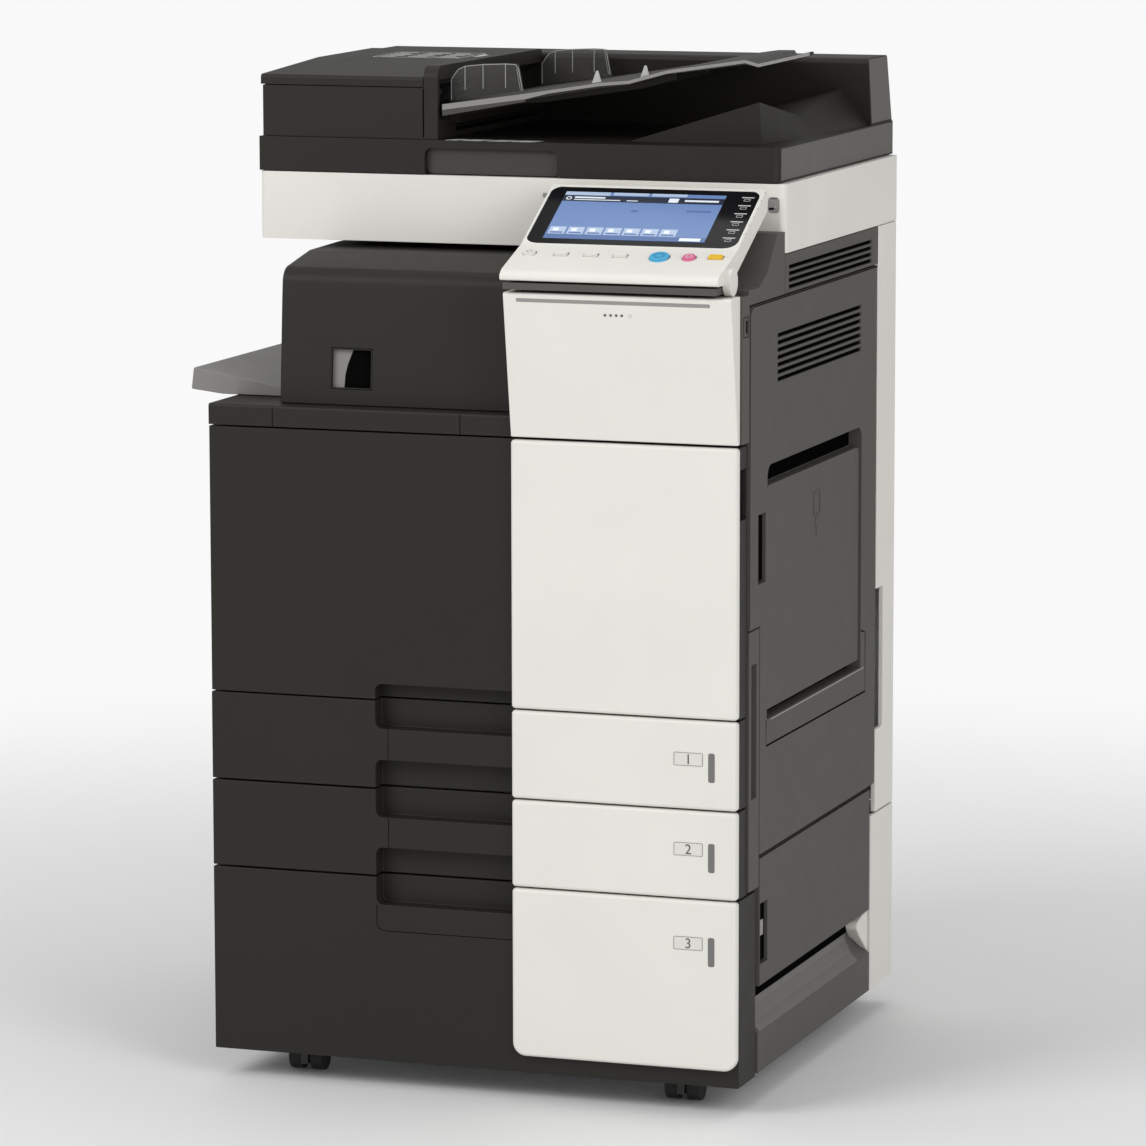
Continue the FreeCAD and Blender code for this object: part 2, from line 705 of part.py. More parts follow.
# a pull lever's room: front, back, bottom, top
DOOR_LEVER = (59, 86, 576, 652)
CABINET_LATCH = (70, 97, 155, 223)


def right_door():
    """Upper right door with the bypass recess, a lever's room and vents."""
    back = door_back
    outline = [(front_thick + 2, post_top + gap), (post_back + gap, post_top + gap),
               (post_back + gap, door_low), (back, door_low), (back, door_top),
               (front_thick + 2, door_top, 14)]
    recess = prism("bypass_recess", "yz",
                   [(92, 423), (454, 423), (454, 702, 14), (92, 702, 14)], 599, right + 1)
    pins = rod("bypass_pin_holes", "y", (BYPASS_PIVOT[0], 87, BYPASS_PIVOT[1]), BYPASS_PIN + running, 372)
    hollows = [(72, 480, 284, 415), (34, 490, 712, 840)]
    lever = lever_room("door_lever_room", *DOOR_LEVER)
    vents = vent_slots("lower_vent", 128, 449, 789, 845, 7)
    openings = [recess, pins, *lever, *vents]
    return hinged_door("right_door", outline, high_pivot(), HIGH_LUGS, hollows, openings)


def lever_room(name, y_low, y_high, z_low, z_high):
    """Pocket for a pull lever, with a hole for its upright pin."""
    room = box(name, (right - 16, y_low, z_low), (right + 1, y_high, z_high))
    hole = rod(name + "_pin", "z", (right - 9, y_high - 6, z_low - 5), LEVER_PIN + running,
               z_high - z_low + 10)
    return room, hole


def pull_lever(name, y_low, y_high, z_low, z_high):
    """Paddle whose front edge swings outwards about an upright pin at its rear."""
    paddle = box(name + "_paddle", (right - 13, y_low + 4, z_low + 3), (right - 3, y_high - 3, z_high - 3))
    pin = rod(name + "_pin", "z", (right - 9, y_high - 6, z_low - 4), LEVER_PIN, z_high - z_low + 8)
    finger = box(name + "_finger", (right - 14, y_low + 1, z_low + 6), (right - 4, y_low + 12, z_high - 14))
    return fuse(name, cut(name + "_body", paddle, finger), pin)


def bypass_tray():
    """Flap that closes the bypass recess, on a long pin at its foot."""
    x, z = BYPASS_PIVOT
    flap = prism("bypass_flap", "yz", [(97, 433), (449, 433), (449, 679, 8), (97, 679, 8)], 602, right - 2)
    pin = rod("bypass_pin", "y", (x, 88, z), BYPASS_PIN, 370)
    return fuse("bypass_tray", flap, pin)


def cabinet_door():
    """Lower right door with a latch."""
    front, top = post_back + 1, door_low - 3
    outline = [(front, low_door_low), (low_door_back, low_door_low), (low_door_back, top), (front, top)]
    latch = lever_room("cabinet_latch_room", *CABINET_LATCH)
    return hinged_door("cabinet_door", outline, low_pivot(), LOW_LUGS, [(104, 470, 138, 268)], latch)


# ---------------------------------------------------------------- control panel
PANEL_PIVOT = (-5.4, 909.3)
PANEL_FRONT = (-36, 919)
PANEL_BEND = (26, 940)
PANEL_TOP = (130, 997)
SCREEN_LOW = 4
BUTTON_SINK = 4
BUTTON_PROUD = 1.2


def strip_angle():
    """Slope of the key strip, in degrees."""
    return math.degrees(math.atan2(PANEL_BEND[1] - PANEL_FRONT[1], PANEL_BEND[0] - PANEL_FRONT[0]))


def glass_angle():
    """Slope of the screen glass, in degrees."""
    return math.degrees(math.atan2(PANEL_TOP[1] - PANEL_BEND[1], PANEL_TOP[0] - PANEL_BEND[0]))


# label: middle across the panel, middle along the strip from its front edge, half width, half depth
BUTTONS = {
    "power_button": (374, 42, 8, 7),
    "key_left": (410, 42, 7.5, 3.5),
    "key_middle": (444, 42, 7.5, 3.5),
    "key_right": (477, 42, 7.5, 3.5),
    "start_button": (521, 41, 11, 11),
    "stop_button": (554, 42, 7.5, 7.5),
    "reset_button": (583, 45, 8, 4),
}
ROUND_BUTTONS = ("power_button", "start_button", "stop_button")


def on_strip(item, across, along, sink):
    """Lays a shape's own XY plane on the key strip."""
    angle = math.radians(strip_angle())
    y = PANEL_FRONT[0] + along * math.cos(angle) + sink * math.sin(angle)
    z = PANEL_FRONT[1] + along * math.sin(angle) - sink * math.cos(angle)
    item.Placement = FreeCAD.Placement(
        FreeCAD.Vector(), FreeCAD.Rotation(FreeCAD.Vector(1, 0, 0), strip_angle()))
    place(item, (across, y, z))
    return item


def key_shape(name, label, grow, sink, height):
    """An oval or rectangular key body standing square on the strip."""
    across, along, half_width, half_depth = BUTTONS[label]
    if label in ROUND_BUTTONS:
        item = doc.addObject("Part::Cylinder", name)
        item.Radius = half_depth + grow
        item.Height = height
        return on_strip(item, across, along, sink)
    item = doc.addObject("Part::Box", name)
    item.Length = 2 * (half_width + grow)
    item.Width = 2 * (half_depth + grow)
    item.Height = height
    return on_strip(item, across - half_width - grow, along - half_depth - grow, sink)


def panel_housing():
    """Tilting control panel's case: key strip, seat for the glass, and a round cap at its pivot."""
    front_y, front_z = PANEL_FRONT
    low = 907.5
    outline = [(-panel_overhang, low, 3), (-panel_overhang, low + 6, 3), (front_y, front_z), PANEL_BEND,
               PANEL_TOP, (135, 990), (133.5, 973.5, 5), (8.5, low)]
    shell = prism("panel_shell", "yz", outline, white_left, white_right - 12)
    cap = rod("panel_cap", "x", (white_right - 14, *PANEL_PIVOT), 14.8, 8)
    pockets = [key_shape("pocket_" + label, label, 0.4, 6, 12) for label in BUTTONS]
    angle = glass_angle()
    seat = doc.addObject("Part::Box", "screen_seat")
    seat.Length, seat.Width, seat.Height = SCREEN_WIDTH + 0.6, SCREEN_DEPTH + 0.6, 10
    seat.Placement.Rotation = FreeCAD.Rotation(FreeCAD.Vector(1, 0, 0), angle)
    place(seat, screen_corner(0.3, SCREEN_THICK + 0.2))
    return cut("panel_housing", fuse("panel_body", shell, cap), *pockets, seat)


SCREEN_WIDTH = 238
SCREEN_DEPTH = 110
SCREEN_THICK = 3


def screen_corner(grow, sink):
    """Lower left corner of the screen glass, sunk below the sloping face."""
    angle = math.radians(glass_angle())
    along = SCREEN_LOW - grow
    y = PANEL_BEND[0] + along * math.cos(angle) + sink * math.sin(angle)
    z = PANEL_BEND[1] + along * math.sin(angle) - sink * math.cos(angle)
    return (white_left + 3 - grow, y, z)


def panel_screen():
    """Glass over the display, flush with the panel's sloping face."""
    glass = doc.addObject("Part::Box", "panel_screen")
    glass.Length, glass.Width, glass.Height = SCREEN_WIDTH, SCREEN_DEPTH, SCREEN_THICK
    glass.Placement.Rotation = FreeCAD.Rotation(FreeCAD.Vector(1, 0, 0), glass_angle())
    place(glass, screen_corner(0, SCREEN_THICK))
    return glass


# ---------------------------------------------------------------- document feeder
def feeder_base():
    """Lid slab with a grip recess, the upright wall at its rear and the exit tray's twin-peaked wedge."""
    low = scanner_top + 1
    slab = prism("feeder_slab", "xy",
                 [(0, scanner_front), (607, scanner_front, 8), (607, feeder_back, 8), (0, feeder_back, 8)],
                 low, feeder_deck)
    grip = prism("feeder_grip", "xz", [(197, low - 1), (352, low - 1), (352, 1031, 8), (197, 1031, 8)],
                 scanner_front - 1, scanner_front + 9)
    wall = prism("feeder_wall", "yz",
                 [(519, feeder_deck - 1), (604, feeder_deck - 1), (582, 1117, 6), (506, 1117, 6)], 3, 605)
    wedge = Part.makeLoft([wedge_section(*section) for section in WEDGE_SECTIONS], True, True)
    exit_tray = doc.addObject("Part::Feature", "exit_wedge")
    exit_tray.Shape = wedge
    y, z = LID_PIVOT
    notches = [
        box(f"lid_notch_{i}", (x - 0.5, y - 11, low - 1), (x + LID_LUG + 0.5, feeder_back + 1, z + 8))
        for i, x in enumerate(LID_LUGS)
    ]
    pins = [rod(f"lid_pin_{i}", "x", (x - 6, y, z), pin_radius, LID_LUG + 12) for i, x in enumerate(LID_LUGS)]
    return fuse("feeder_base", cut("feeder_lid", slab, grip, *notches), wall, exit_tray, *pins)


LID_PIVOT = (602, 1001.5)
LID_LUGS = (70, 530)
LID_LUG = 14


def lid_lug(name, x):
    """Eye at the scanner's rear top edge that carries a pin of the lid."""
    y, z = LID_PIVOT
    eye = rod(name + "_eye", "x", (x, y, z), 6, LID_LUG)
    neck = box(name + "_neck", (x, y - 10, z - 14), (x + LID_LUG, y, z - 2))
    bore = rod(name + "_bore", "x", (x - 1, y, z), pin_radius + running, LID_LUG + 2)
    clear = box(name + "_clear", (x - 1, y - 12, scanner_top), (x + LID_LUG + 1, y - 7, scanner_top + 10))
    return cut(name, fuse(name + "_solid", eye, neck), bore, clear)


WEDGE_LEFT = 417
WEDGE_RIDGE = 570
# distance back, ridge height, right foot
WEDGE_SECTIONS = ((203, 1086, 573), (372, 1058, 589), (520, 1084, 602))


def wedge_section(y, peak, right_foot):
    """Triangle across the copier whose ridge stands at the given height."""
    foot = feeder_deck.number - 1
    corners = ((WEDGE_LEFT, y, foot), (right_foot, y, foot), (WEDGE_RIDGE, y, peak), (WEDGE_LEFT, y, foot))
    return Part.makePolygon([FreeCAD.Vector(*corner) for corner in corners])


HEAD_LEFT = 4
HEAD_RIGHT = 212
HEAD_BACK = 503
LID_RIGHT = 195
CHEEK_TOP = 1121.5
MOUTH_TOP = 1106


def feeder_head():
    """Feed unit's casing, open at the top; its taller right cheek has the sheets' mouth and outlet."""
    front, low = scanner_front + 2, feeder_deck + 0.5
    shell = box("head_block", (HEAD_LEFT, front, low), (HEAD_RIGHT, HEAD_BACK, head_top))
    cheek = prism("head_cheek", "yz",
                  [(front, low), (HEAD_BACK, low), (HEAD_BACK, CHEEK_TOP, 4), (front, CHEEK_TOP, 14)],
                  LID_RIGHT + 0.6, HEAD_RIGHT)
    room = box("head_room", (HEAD_LEFT + 6, scanner_front + 10, feeder_deck + 8),
               (LID_RIGHT - 5, HEAD_BACK - 6, head_top + 1))
    mouth = box("head_mouth", (LID_RIGHT - 6, scanner_front + 8, 1062), (HEAD_RIGHT + 1, 500, MOUTH_TOP))
    outlet = box("head_outlet", (LID_RIGHT - 6, 215, 1046), (HEAD_RIGHT + 1, 500, 1054))
    relief = knuckles("head_relief", COVER_KNUCKLES, KNUCKLE + 0.5, 0.5)
    casing = cut("head_casing", fuse("head_walls", shell, cheek), room, mouth, outlet, *relief)
    x, z = TRAY_PIVOT
    ears = [
        box(f"tray_ear_{i}", (HEAD_RIGHT - 4, y, z - EAR_DROP), (x + 4, y + TRAY_EAR, z + 4))
        for i, y in enumerate(TRAY_EARS)
    ]
    bores = [
        rod(f"tray_ear_bore_{i}", "y", (x, y - 1, z), TRAY_JOURNAL + running, TRAY_EAR + 2)
        for i, y in enumerate(TRAY_EARS)
    ]
    hinge = knuckles("head_knuckle", HEAD_KNUCKLES, KNUCKLE, 0)
    return cut("feeder_head", fuse("head_solid", casing, *ears, *hinge), *bores)


KNUCKLE = 3
HEAD_KNUCKLES = ((170, 199), (461, 490))
COVER_KNUCKLES = ((200, 230), (430, 460))
TRAY_PIVOT = (219, 1073.5)
TRAY_EARS = (199.5, 501.5)
TRAY_EAR = 3.5
EAR_DROP = 17
TRAY_JOURNAL = 2


def knuckles(name, spans, radius, extra):
    """Hinge barrels along the feed head's upper left edge."""
    return [
        rod(f"{name}_{i}", "y", (HEAD_LEFT, start - extra, head_top + 1), radius, end - start + 2 * extra)
        for i, (start, end) in enumerate(spans)
    ]


def feeder_top_cover():
    """Feed unit's lid, hinged at its left edge; its top falls away to the front."""
    front, low = scanner_front + 1, head_top + 1
    outline = [(front, low), (HEAD_BACK, low), (HEAD_BACK, 1119, 4), (330, 1118), (front, 1109, 4)]
    lid = prism("top_cover_lid", "yz", outline, HEAD_LEFT - 2, LID_RIGHT)
    relieved = cut("top_cover_relieved", lid, *knuckles("cover_relief", HEAD_KNUCKLES, KNUCKLE + 0.5, 0.5))
    return fuse("feeder_top_cover", relieved, *knuckles("cover_knuckle", COVER_KNUCKLES, KNUCKLE, 0))


TRAY_START = (216, 1079.5)
TRAY_BEND = (315, 1093.5)
TRAY_FRONT = 160
TRAY_BACK = 500
BARREL_FRONT = 205
TAPER = 500


def document_tray():
    """Sloping tray with a kink near its end, where the sheet's far edge rests; its rear right is cut away."""
    top = [TRAY_START, TRAY_BEND, (401, 1107), (434, 1110), (478, 1122), (567, 1135), (582, 1131),
           (doc_tray_end, 1145.2, 2)]
    under = [(doc_tray_end, 1141.5), (582, 1127), (567, 1129.5), (478, 1117), (434, 1105), (401, 1101),
             (TRAY_BEND[0], 1087), (TRAY_START[0], 1070)]
    sheet_rest = prism("tray_plate", "xz", top + under, TRAY_FRONT, TRAY_BACK)
    taper = prism("tray_taper", "xy",
                  [(doc_tray_end, TRAY_FRONT + 5), (doc_tray_end + 9, TRAY_FRONT + 5),
                   (doc_tray_end + 9, TRAY_BACK + 9), (TAPER, TRAY_BACK + 9), (TAPER, TRAY_BACK)],
                  TRAY_START[1], CHEEK_TOP + 60)
    ear_notch = box("tray_ear_notch", (TRAY_START[0] - 1, TRAY_EARS[0] - 1, TRAY_PIVOT[1] - 20),
                    (TRAY_PIVOT[0] + 8, BARREL_FRONT, TRAY_START[1] + 9))
    x, z = TRAY_PIVOT
    barrel = rod("tray_barrel", "y", (x, BARREL_FRONT, z), 3.5, TRAY_BACK - BARREL_FRONT)
    journal = rod("tray_journal", "y", (x, BARREL_FRONT - 5, z), TRAY_JOURNAL, TRAY_BACK - BARREL_FRONT + 10)
    return fuse("document_tray", cut("tray_sheet", sheet_rest, taper, ear_notch), barrel, journal)


GUIDE_LEFT = 218
GUIDE_RIGHT = 303
GUIDE_THICK = 4


def on_tray(x):
    """Height just clear of the sloping tray's surface."""
    slope = (TRAY_BEND[1] - TRAY_START[1]) / (TRAY_BEND[0] - TRAY_START[0])
    return TRAY_START[1] + 0.8 + (x - TRAY_START[0]) * slope


def document_guide(name, front):
    """Upright sheet guide that stands just clear of the sloping tray."""
    low, high = on_tray(GUIDE_LEFT), on_tray(GUIDE_RIGHT)
    outline = [(GUIDE_LEFT, low), (GUIDE_RIGHT, high), (GUIDE_RIGHT - 6, high + 31, 3),
               (GUIDE_LEFT + 64, 1124.2), (GUIDE_LEFT + 37, 1123), (GUIDE_LEFT + 17, 1120.8),
               (GUIDE_LEFT + 8.5, 1117), (GUIDE_LEFT, low + 24)]
    return prism(name, "xz", outline, front, front + GUIDE_THICK)


# ---------------------------------------------------------------- casters and feet
CASTERS = {
    "front_left": (88, 50),
    "front_right": (532, 50),
    "rear_left": (88, 520),
    "rear_right": (532, 520),
}
FEET = ((170, 215), (450, 215), (170, 520), (450, 520))
WHEEL_LIFT = 0.5
caster_stem = as_size(5)


def caster_fork(name, x, y):
    """Swivel head: stem in the cabinet floor, round plate, and a web between the wheels."""
    z = wheel_radius + WHEEL_LIFT
    stem = rod(name + "_stem", "z", (x, y, 44), caster_stem, 10)
    plate = rod(name + "_plate", "z", (x, y, 38), 19, 6)
    web = box(name + "_web", (x - 4, y - 4, z - 6), (x + 4, y + caster_trail + 6, 39))
    axle = rod(name + "_axle_hole", "x", (x - 6, y + caster_trail, z), pin_radius + running, 12)
    return cut(name, fuse(name + "_head", stem, plate, web), axle)


def caster_wheels(name, x, y):
    """Pair of wheels on one axle."""
    z = wheel_radius + WHEEL_LIFT
    axle = rod(name + "_axle", "x", (x - 8, y + caster_trail, z), pin_radius, 16)
    tread = [rod(f"{name}_{i}", "x", (start, y + caster_trail, z), wheel_radius, wheel_width)
             for i, start in enumerate((x - 5 - wheel_width, x + 5))]
    return fuse(name, axle, *tread)


def adjuster_feet():
    """Four levelling feet that carry the copier just clear of its wheels."""
    pieces = []
    for i, (x, y) in enumerate(FEET):
        pad = rod(f"foot_pad_{i}", "z", (x, y, 0), foot_radius, 6)
        stem = rod(f"foot_stem_{i}", "z", (x, y, 5), 5, 45)
        pieces.append(fuse(f"foot_{i}", pad, stem))
    return group("adjuster_feet", *pieces)


# ---------------------------------------------------------------- inside the engine
def roller(name):
    """Roller along the depth, with journals that run in the frame's bearing plates."""
    x, z, radius = ROLLERS[name]
    near, far = BEARING_PLATES
    barrel = rod(name + "_barrel", "y", (x, near + 14, z), radius, far - near - 24)
    journal = rod(name + "_journal", "y", (x, near - 4, z), JOURNAL, far - near + 12)
    return fuse(name, barrel, journal)


# ---------------------------------------------------------------- assembly
node("cabinet_frame", cabinet_frame())
node("main_frame", main_frame())
node("left_cover", left_cover())
node("rear_cover_upper", rear_cover_upper())
node("rear_cover_lower", rear_cover_lower())
node("right_front_post", right_front_post())
node("ledge_cover", ledge_cover())
node("vent_cover", vent_cover())
node("tower_cover", tower_cover())
node("slot_panel", slot_panel())
node("shelf_cover", shelf_cover())
node("finisher_cover", finisher_cover())
node("output_tray", output_tray())
node("scanner_housing", scanner_housing())
node("platen_glass", platen_glass())
node("scan_carriage", scan_carriage())
node("adjuster_feet", adjuster_feet())
drawers()
front_door()
node("right_door", right_door())
node("door_lever", pull_lever("door_lever", *DOOR_LEVER))
node("bypass_tray", bypass_tray())
node("cabinet_door", cabinet_door())
node("cabinet_latch", pull_lever("cabinet_latch", *CABINET_LATCH))
node("panel_housing", panel_housing())
node("panel_screen", panel_screen())
for label in BUTTONS:
    node(label, key_shape(label, label, 0, BUTTON_SINK, BUTTON_SINK + BUTTON_PROUD))
node("feeder_base", feeder_base())
node("feeder_head", feeder_head())
node("feeder_top_cover", feeder_top_cover())
node("document_tray", document_tray())
node("document_guide_front", document_guide("document_guide_front", 183))
node("document_guide_rear", document_guide("document_guide_rear", 484))
for corner, (x, y) in CASTERS.items():
    node("caster_fork_" + corner, caster_fork("caster_fork_" + corner, x, y))
    node("caster_wheels_" + corner, caster_wheels("caster_wheels_" + corner, x, y))
for label in ROLLERS:
    node(label, roller(label))

doc.recompute()
faults = [item.Name for item in doc.Objects if {"Invalid", "Error"} & set(item.State)]
faults += [item.Label for item in nodes if item.Shape.isNull() or not item.Shape.isValid()]
if faults:
    raise SystemExit(f"these objects failed: {faults}")

os.makedirs("parts", exist_ok=True)
for item in nodes:
    item.Shape.exportStep(f"parts/{item.Label}.step")
print(len(nodes), "nodes written")
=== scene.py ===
"""Looks of the photocopier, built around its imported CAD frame. Lengths are in metres."""
import json
import math

import bmesh
import bpy
from mathutils import Matrix, Vector
from mathutils.bvhtree import BVHTree


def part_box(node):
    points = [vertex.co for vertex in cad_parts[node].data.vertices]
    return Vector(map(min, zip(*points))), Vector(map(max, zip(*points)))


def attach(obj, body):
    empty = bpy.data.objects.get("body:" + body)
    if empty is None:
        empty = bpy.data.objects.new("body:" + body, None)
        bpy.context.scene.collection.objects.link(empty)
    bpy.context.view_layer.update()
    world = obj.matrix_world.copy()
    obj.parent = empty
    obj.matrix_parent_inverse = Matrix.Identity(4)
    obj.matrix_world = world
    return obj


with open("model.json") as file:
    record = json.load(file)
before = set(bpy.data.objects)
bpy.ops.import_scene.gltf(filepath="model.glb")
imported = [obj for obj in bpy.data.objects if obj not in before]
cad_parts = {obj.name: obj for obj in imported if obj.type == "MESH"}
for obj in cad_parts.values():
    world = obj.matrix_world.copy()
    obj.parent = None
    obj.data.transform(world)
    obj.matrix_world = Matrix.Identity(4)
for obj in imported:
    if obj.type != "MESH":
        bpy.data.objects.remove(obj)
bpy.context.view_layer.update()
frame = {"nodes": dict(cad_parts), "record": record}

MM = 0.001
FAR = 2


# ================================================================ procedural materials
class Nodes:
    """A material's node tree, with short ways to add and join nodes."""

    def __init__(self, name):
        self.material = bpy.data.materials.new(name)
        self.material.use_nodes = True
        self.tree = self.material.node_tree
        self.surface = self.tree.nodes["Principled BSDF"]
        self.place = self.add("ShaderNodeTexCoord").outputs["Object"]

    def add(self, kind, **inputs):
        made = self.tree.nodes.new(kind)
        for key, value in inputs.items():
            self.feed(made.inputs[key.replace("_", " ")], value)
        return made

    def feed(self, socket, value):
        """Sets a socket to a number, a colour or another node's output."""
        if isinstance(value, bpy.types.NodeSocket):
            self.tree.links.new(value, socket)
        elif isinstance(value, (tuple, list)) and len(value) == 3 and socket.type == "RGBA":
            socket.default_value = (*value, 1)
        else:
            socket.default_value = value

    def set(self, **inputs):
        for key, value in inputs.items():
            self.feed(self.surface.inputs[key.replace("_", " ")], value)

    def noise(self, scale, detail=2.0, rough=0.5):
        made = self.add("ShaderNodeTexNoise", Vector=self.place, Scale=scale, Detail=detail, Roughness=rough)
        return made.outputs["Fac"]

    def stretched_noise(self, scale, stretch):
        """Noise drawn out along one axis, for brushed metal and the screen's grid."""
        mapping = self.add("ShaderNodeMapping", Vector=self.place, Scale=stretch)
        made = self.add("ShaderNodeTexNoise", Vector=mapping.outputs["Vector"], Scale=scale, Detail=4.0)
        return made.outputs["Fac"]

    def between(self, factor, low, high):
        """Maps a 0..1 factor onto a range."""
        made = self.add("ShaderNodeMapRange", Value=factor, To_Min=low, To_Max=high)
        return made.outputs["Result"]

    def mix(self, factor, first, second):
        made = self.tree.nodes.new("ShaderNodeMix")
        made.data_type = "RGBA"
        sockets = [s for s in made.inputs if s.type == "RGBA"]
        self.feed(made.inputs["Factor"], factor)
        self.feed(sockets[0], first)
        self.feed(sockets[1], second)
        return [s for s in made.outputs if s.type == "RGBA"][0]

    def bump(self, height, strength, distance):
        made = self.add("ShaderNodeBump", Height=height, Strength=strength, Distance=distance)
        self.set(Normal=made.outputs["Normal"])

    def edge_wear(self, width):
        """1 near sharp edges and 0 elsewhere, broken up by noise."""
        bevel = self.tree.nodes.new("ShaderNodeBevel")
        bevel.samples = 4
        bevel.inputs["Radius"].default_value = width
        geometry = self.tree.nodes.new("ShaderNodeNewGeometry")
        dot = self.tree.nodes.new("ShaderNodeVectorMath")
        dot.operation = "DOT_PRODUCT"
        self.tree.links.new(bevel.outputs["Normal"], dot.inputs[0])
        self.tree.links.new(geometry.outputs["Normal"], dot.inputs[1])
        edge = self.add("ShaderNodeMapRange", Value=dot.outputs["Value"])
        edge.inputs["From Min"].default_value = 1.0
        edge.inputs["From Max"].default_value = 0.8
        patchy = self.between(self.noise(60, 3), 0.2, 1.0)
        product = self.tree.nodes.new("ShaderNodeMath")
        product.operation = "MULTIPLY"
        self.tree.links.new(edge.outputs["Result"], product.inputs[0])
        self.tree.links.new(patchy, product.inputs[1])
        return product.outputs["Value"]


def shade(colour, factor):
    return tuple(min(1.0, c * factor) for c in colour)


def plastic(name, colour, roughness, grain=0.35, grain_scale=1400, wear=1.25, coat=0.0, shine=0.35):
    """Moulded plastic: spark-eroded grain, faint cloudiness and paler rubbed edges."""
    n = Nodes(name)
    cloud = n.noise(7, 3)
    base = n.mix(cloud, shade(colour, 0.95), shade(colour, 1.05))
    n.set(Base_Color=n.mix(n.edge_wear(1.2 * MM), base, shade(colour, wear)))
    n.set(Roughness=n.between(n.noise(35, 4), roughness - 0.04, roughness + 0.05))
    n.set(Specular_IOR_Level=shine, Coat_Weight=coat)
    n.bump(n.noise(grain_scale, 2), grain, 0.12 * MM)
    return n.material


def brushed_steel(name, colour, roughness=0.38):
    n = Nodes(name)
    streaks = n.stretched_noise(90, (1, 14, 1))
    spangle = n.add("ShaderNodeTexVoronoi", Vector=n.place, Scale=120).outputs["Color"]
    base = n.mix(0.08, n.mix(streaks, shade(colour, 0.88), shade(colour, 1.1)), spangle)
    n.set(Base_Color=base, Metallic=0.9, Roughness=n.between(streaks, roughness - 0.08, roughness + 0.1))
    n.bump(streaks, 0.15, 0.1 * MM)
    return n.material


def painted_metal(name, colour, roughness=0.4):
    n = Nodes(name)
    peel = n.noise(500, 2)
    n.set(Base_Color=n.mix(n.edge_wear(0.8 * MM), shade(colour, 1), (0.3, 0.3, 0.3)))
    n.set(Roughness=n.between(peel, roughness - 0.05, roughness + 0.08), Metallic=0.2)
    n.bump(peel, 0.2, 0.1 * MM)
    return n.material


def rubber(name, colour, roughness=0.75):
    n = Nodes(name)
    dust = n.noise(40, 4)
    n.set(Base_Color=n.mix(n.between(dust, -0.3, 0.6), colour, shade(colour, 2.2)))
    n.set(Roughness=n.between(dust, roughness - 0.08, roughness + 0.1))
    n.bump(n.noise(900, 3), 0.3, 0.15 * MM)
    return n.material


def clear(name, colour, roughness=0.06, transmission=0.92):
    """Clear glass or acrylic with faint handling smears."""
    n = Nodes(name)
    smear = n.noise(14, 4)
    n.set(Base_Color=colour, Transmission_Weight=transmission, IOR=1.49)
    n.set(Roughness=n.between(smear, roughness * 0.6, roughness * 1.8))
    n.bump(smear, 0.03, 0.2 * MM)
    return n.material


def smoky(name, colour, cover):
    """Tinted clear plastic that covers what is behind it only in part."""
    n = Nodes(name)
    smear = n.noise(20, 4)
    n.set(Base_Color=colour, Alpha=cover, Roughness=n.between(smear, 0.08, 0.2))
    n.bump(smear, 0.03, 0.2 * MM)
    return n.material


def glowing(name, colour, strength):
    """A lit surface with a faint screen pixel grid."""
    n = Nodes(name)
    grid = n.stretched_noise(900, (1, 0.3, 1))
    tint = n.mix(grid, shade(colour, 0.9), shade(colour, 1.05))
    n.set(Base_Color=tint, Emission_Color=tint, Emission_Strength=strength, Roughness=0.25)
    n.bump(grid, 0.05, 0.05 * MM)
    return n.material


def gloss_black(name, colour=(0.006, 0.006, 0.007)):
    """Polished black glass with faint smears."""
    n = Nodes(name)
    smear = n.noise(18, 5)
    n.set(Base_Color=n.mix(smear, colour, shade(colour, 1.6)))
    n.set(Roughness=n.between(smear, 0.05, 0.14), Specular_IOR_Level=0.1)
    n.bump(smear, 0.02, 0.2 * MM)
    return n.material


BLACK = plastic("black_plastic", (0.020, 0.0185, 0.0155), 0.5, shine=0.2)
# Painted light: the side faces get the charcoal plastic of BLACK in a lighter colour, standing in for the
# strong light falling on them.
SIDE_LIT_BLACK = plastic("side_plastic", (0.080, 0.0755, 0.068), 0.55, shine=0.25)
WHITE = plastic("white_plastic", (0.72, 0.705, 0.66), 0.36, grain=0.12, wear=1.08)
TRAY_GREY = plastic("tray_grey_plastic", (0.21, 0.205, 0.195), 0.5)
DRAWER_GREY = plastic("drawer_grey_plastic", (0.24, 0.245, 0.25), 0.5)
TONER = plastic("toner_plastic", (0.12, 0.12, 0.125), 0.45)
STEEL = brushed_steel("galvanised_steel", (0.55, 0.56, 0.57))
DARK_METAL = painted_metal("black_metal", (0.03, 0.03, 0.03))
TYRE = rubber("caster_rubber", (0.018, 0.018, 0.018))
SILICONE = rubber("roller_rubber", (0.2, 0.07, 0.04), 0.5)
GLASS = clear("platen_glass", (0.8, 0.9, 0.87), 0.03)
ACRYLIC = smoky("clear_plastic", (0.10, 0.097, 0.09), 0.32)
SCREEN_GLASS = gloss_black("display_glass")
BLUE = plastic("blue_key", (0.075, 0.42, 0.68), 0.25, grain=0.03, wear=1.3, coat=0.5)
PINK = plastic("pink_key", (0.72, 0.17, 0.32), 0.25, grain=0.03, wear=1.3, coat=0.5)
YELLOW = plastic("yellow_key", (0.82, 0.5, 0.02), 0.28, grain=0.03, wear=1.2, coat=0.5)
DRUM = plastic("drum_coating", (0.01, 0.16, 0.2), 0.15, grain=0.0, wear=1.1, coat=0.8)

SLOT_MATERIALS = {
    "black_plastic": BLACK, "side_plastic": SIDE_LIT_BLACK, "white_plastic": WHITE, "tray_grey_plastic": TRAY_GREY,
    "frame_steel": STEEL, "tray_plastic": DRAWER_GREY, "platen_glass": GLASS, "clear_plastic": ACRYLIC,
    "display_glass": SCREEN_GLASS, "blue_key": BLUE, "pink_key": PINK, "yellow_key": YELLOW,
    "caster_rubber": TYRE, "caster_steel": DARK_METAL, "drum_coating": DRUM, "toner_plastic": TONER,
    "roller_rubber": SILICONE,
}


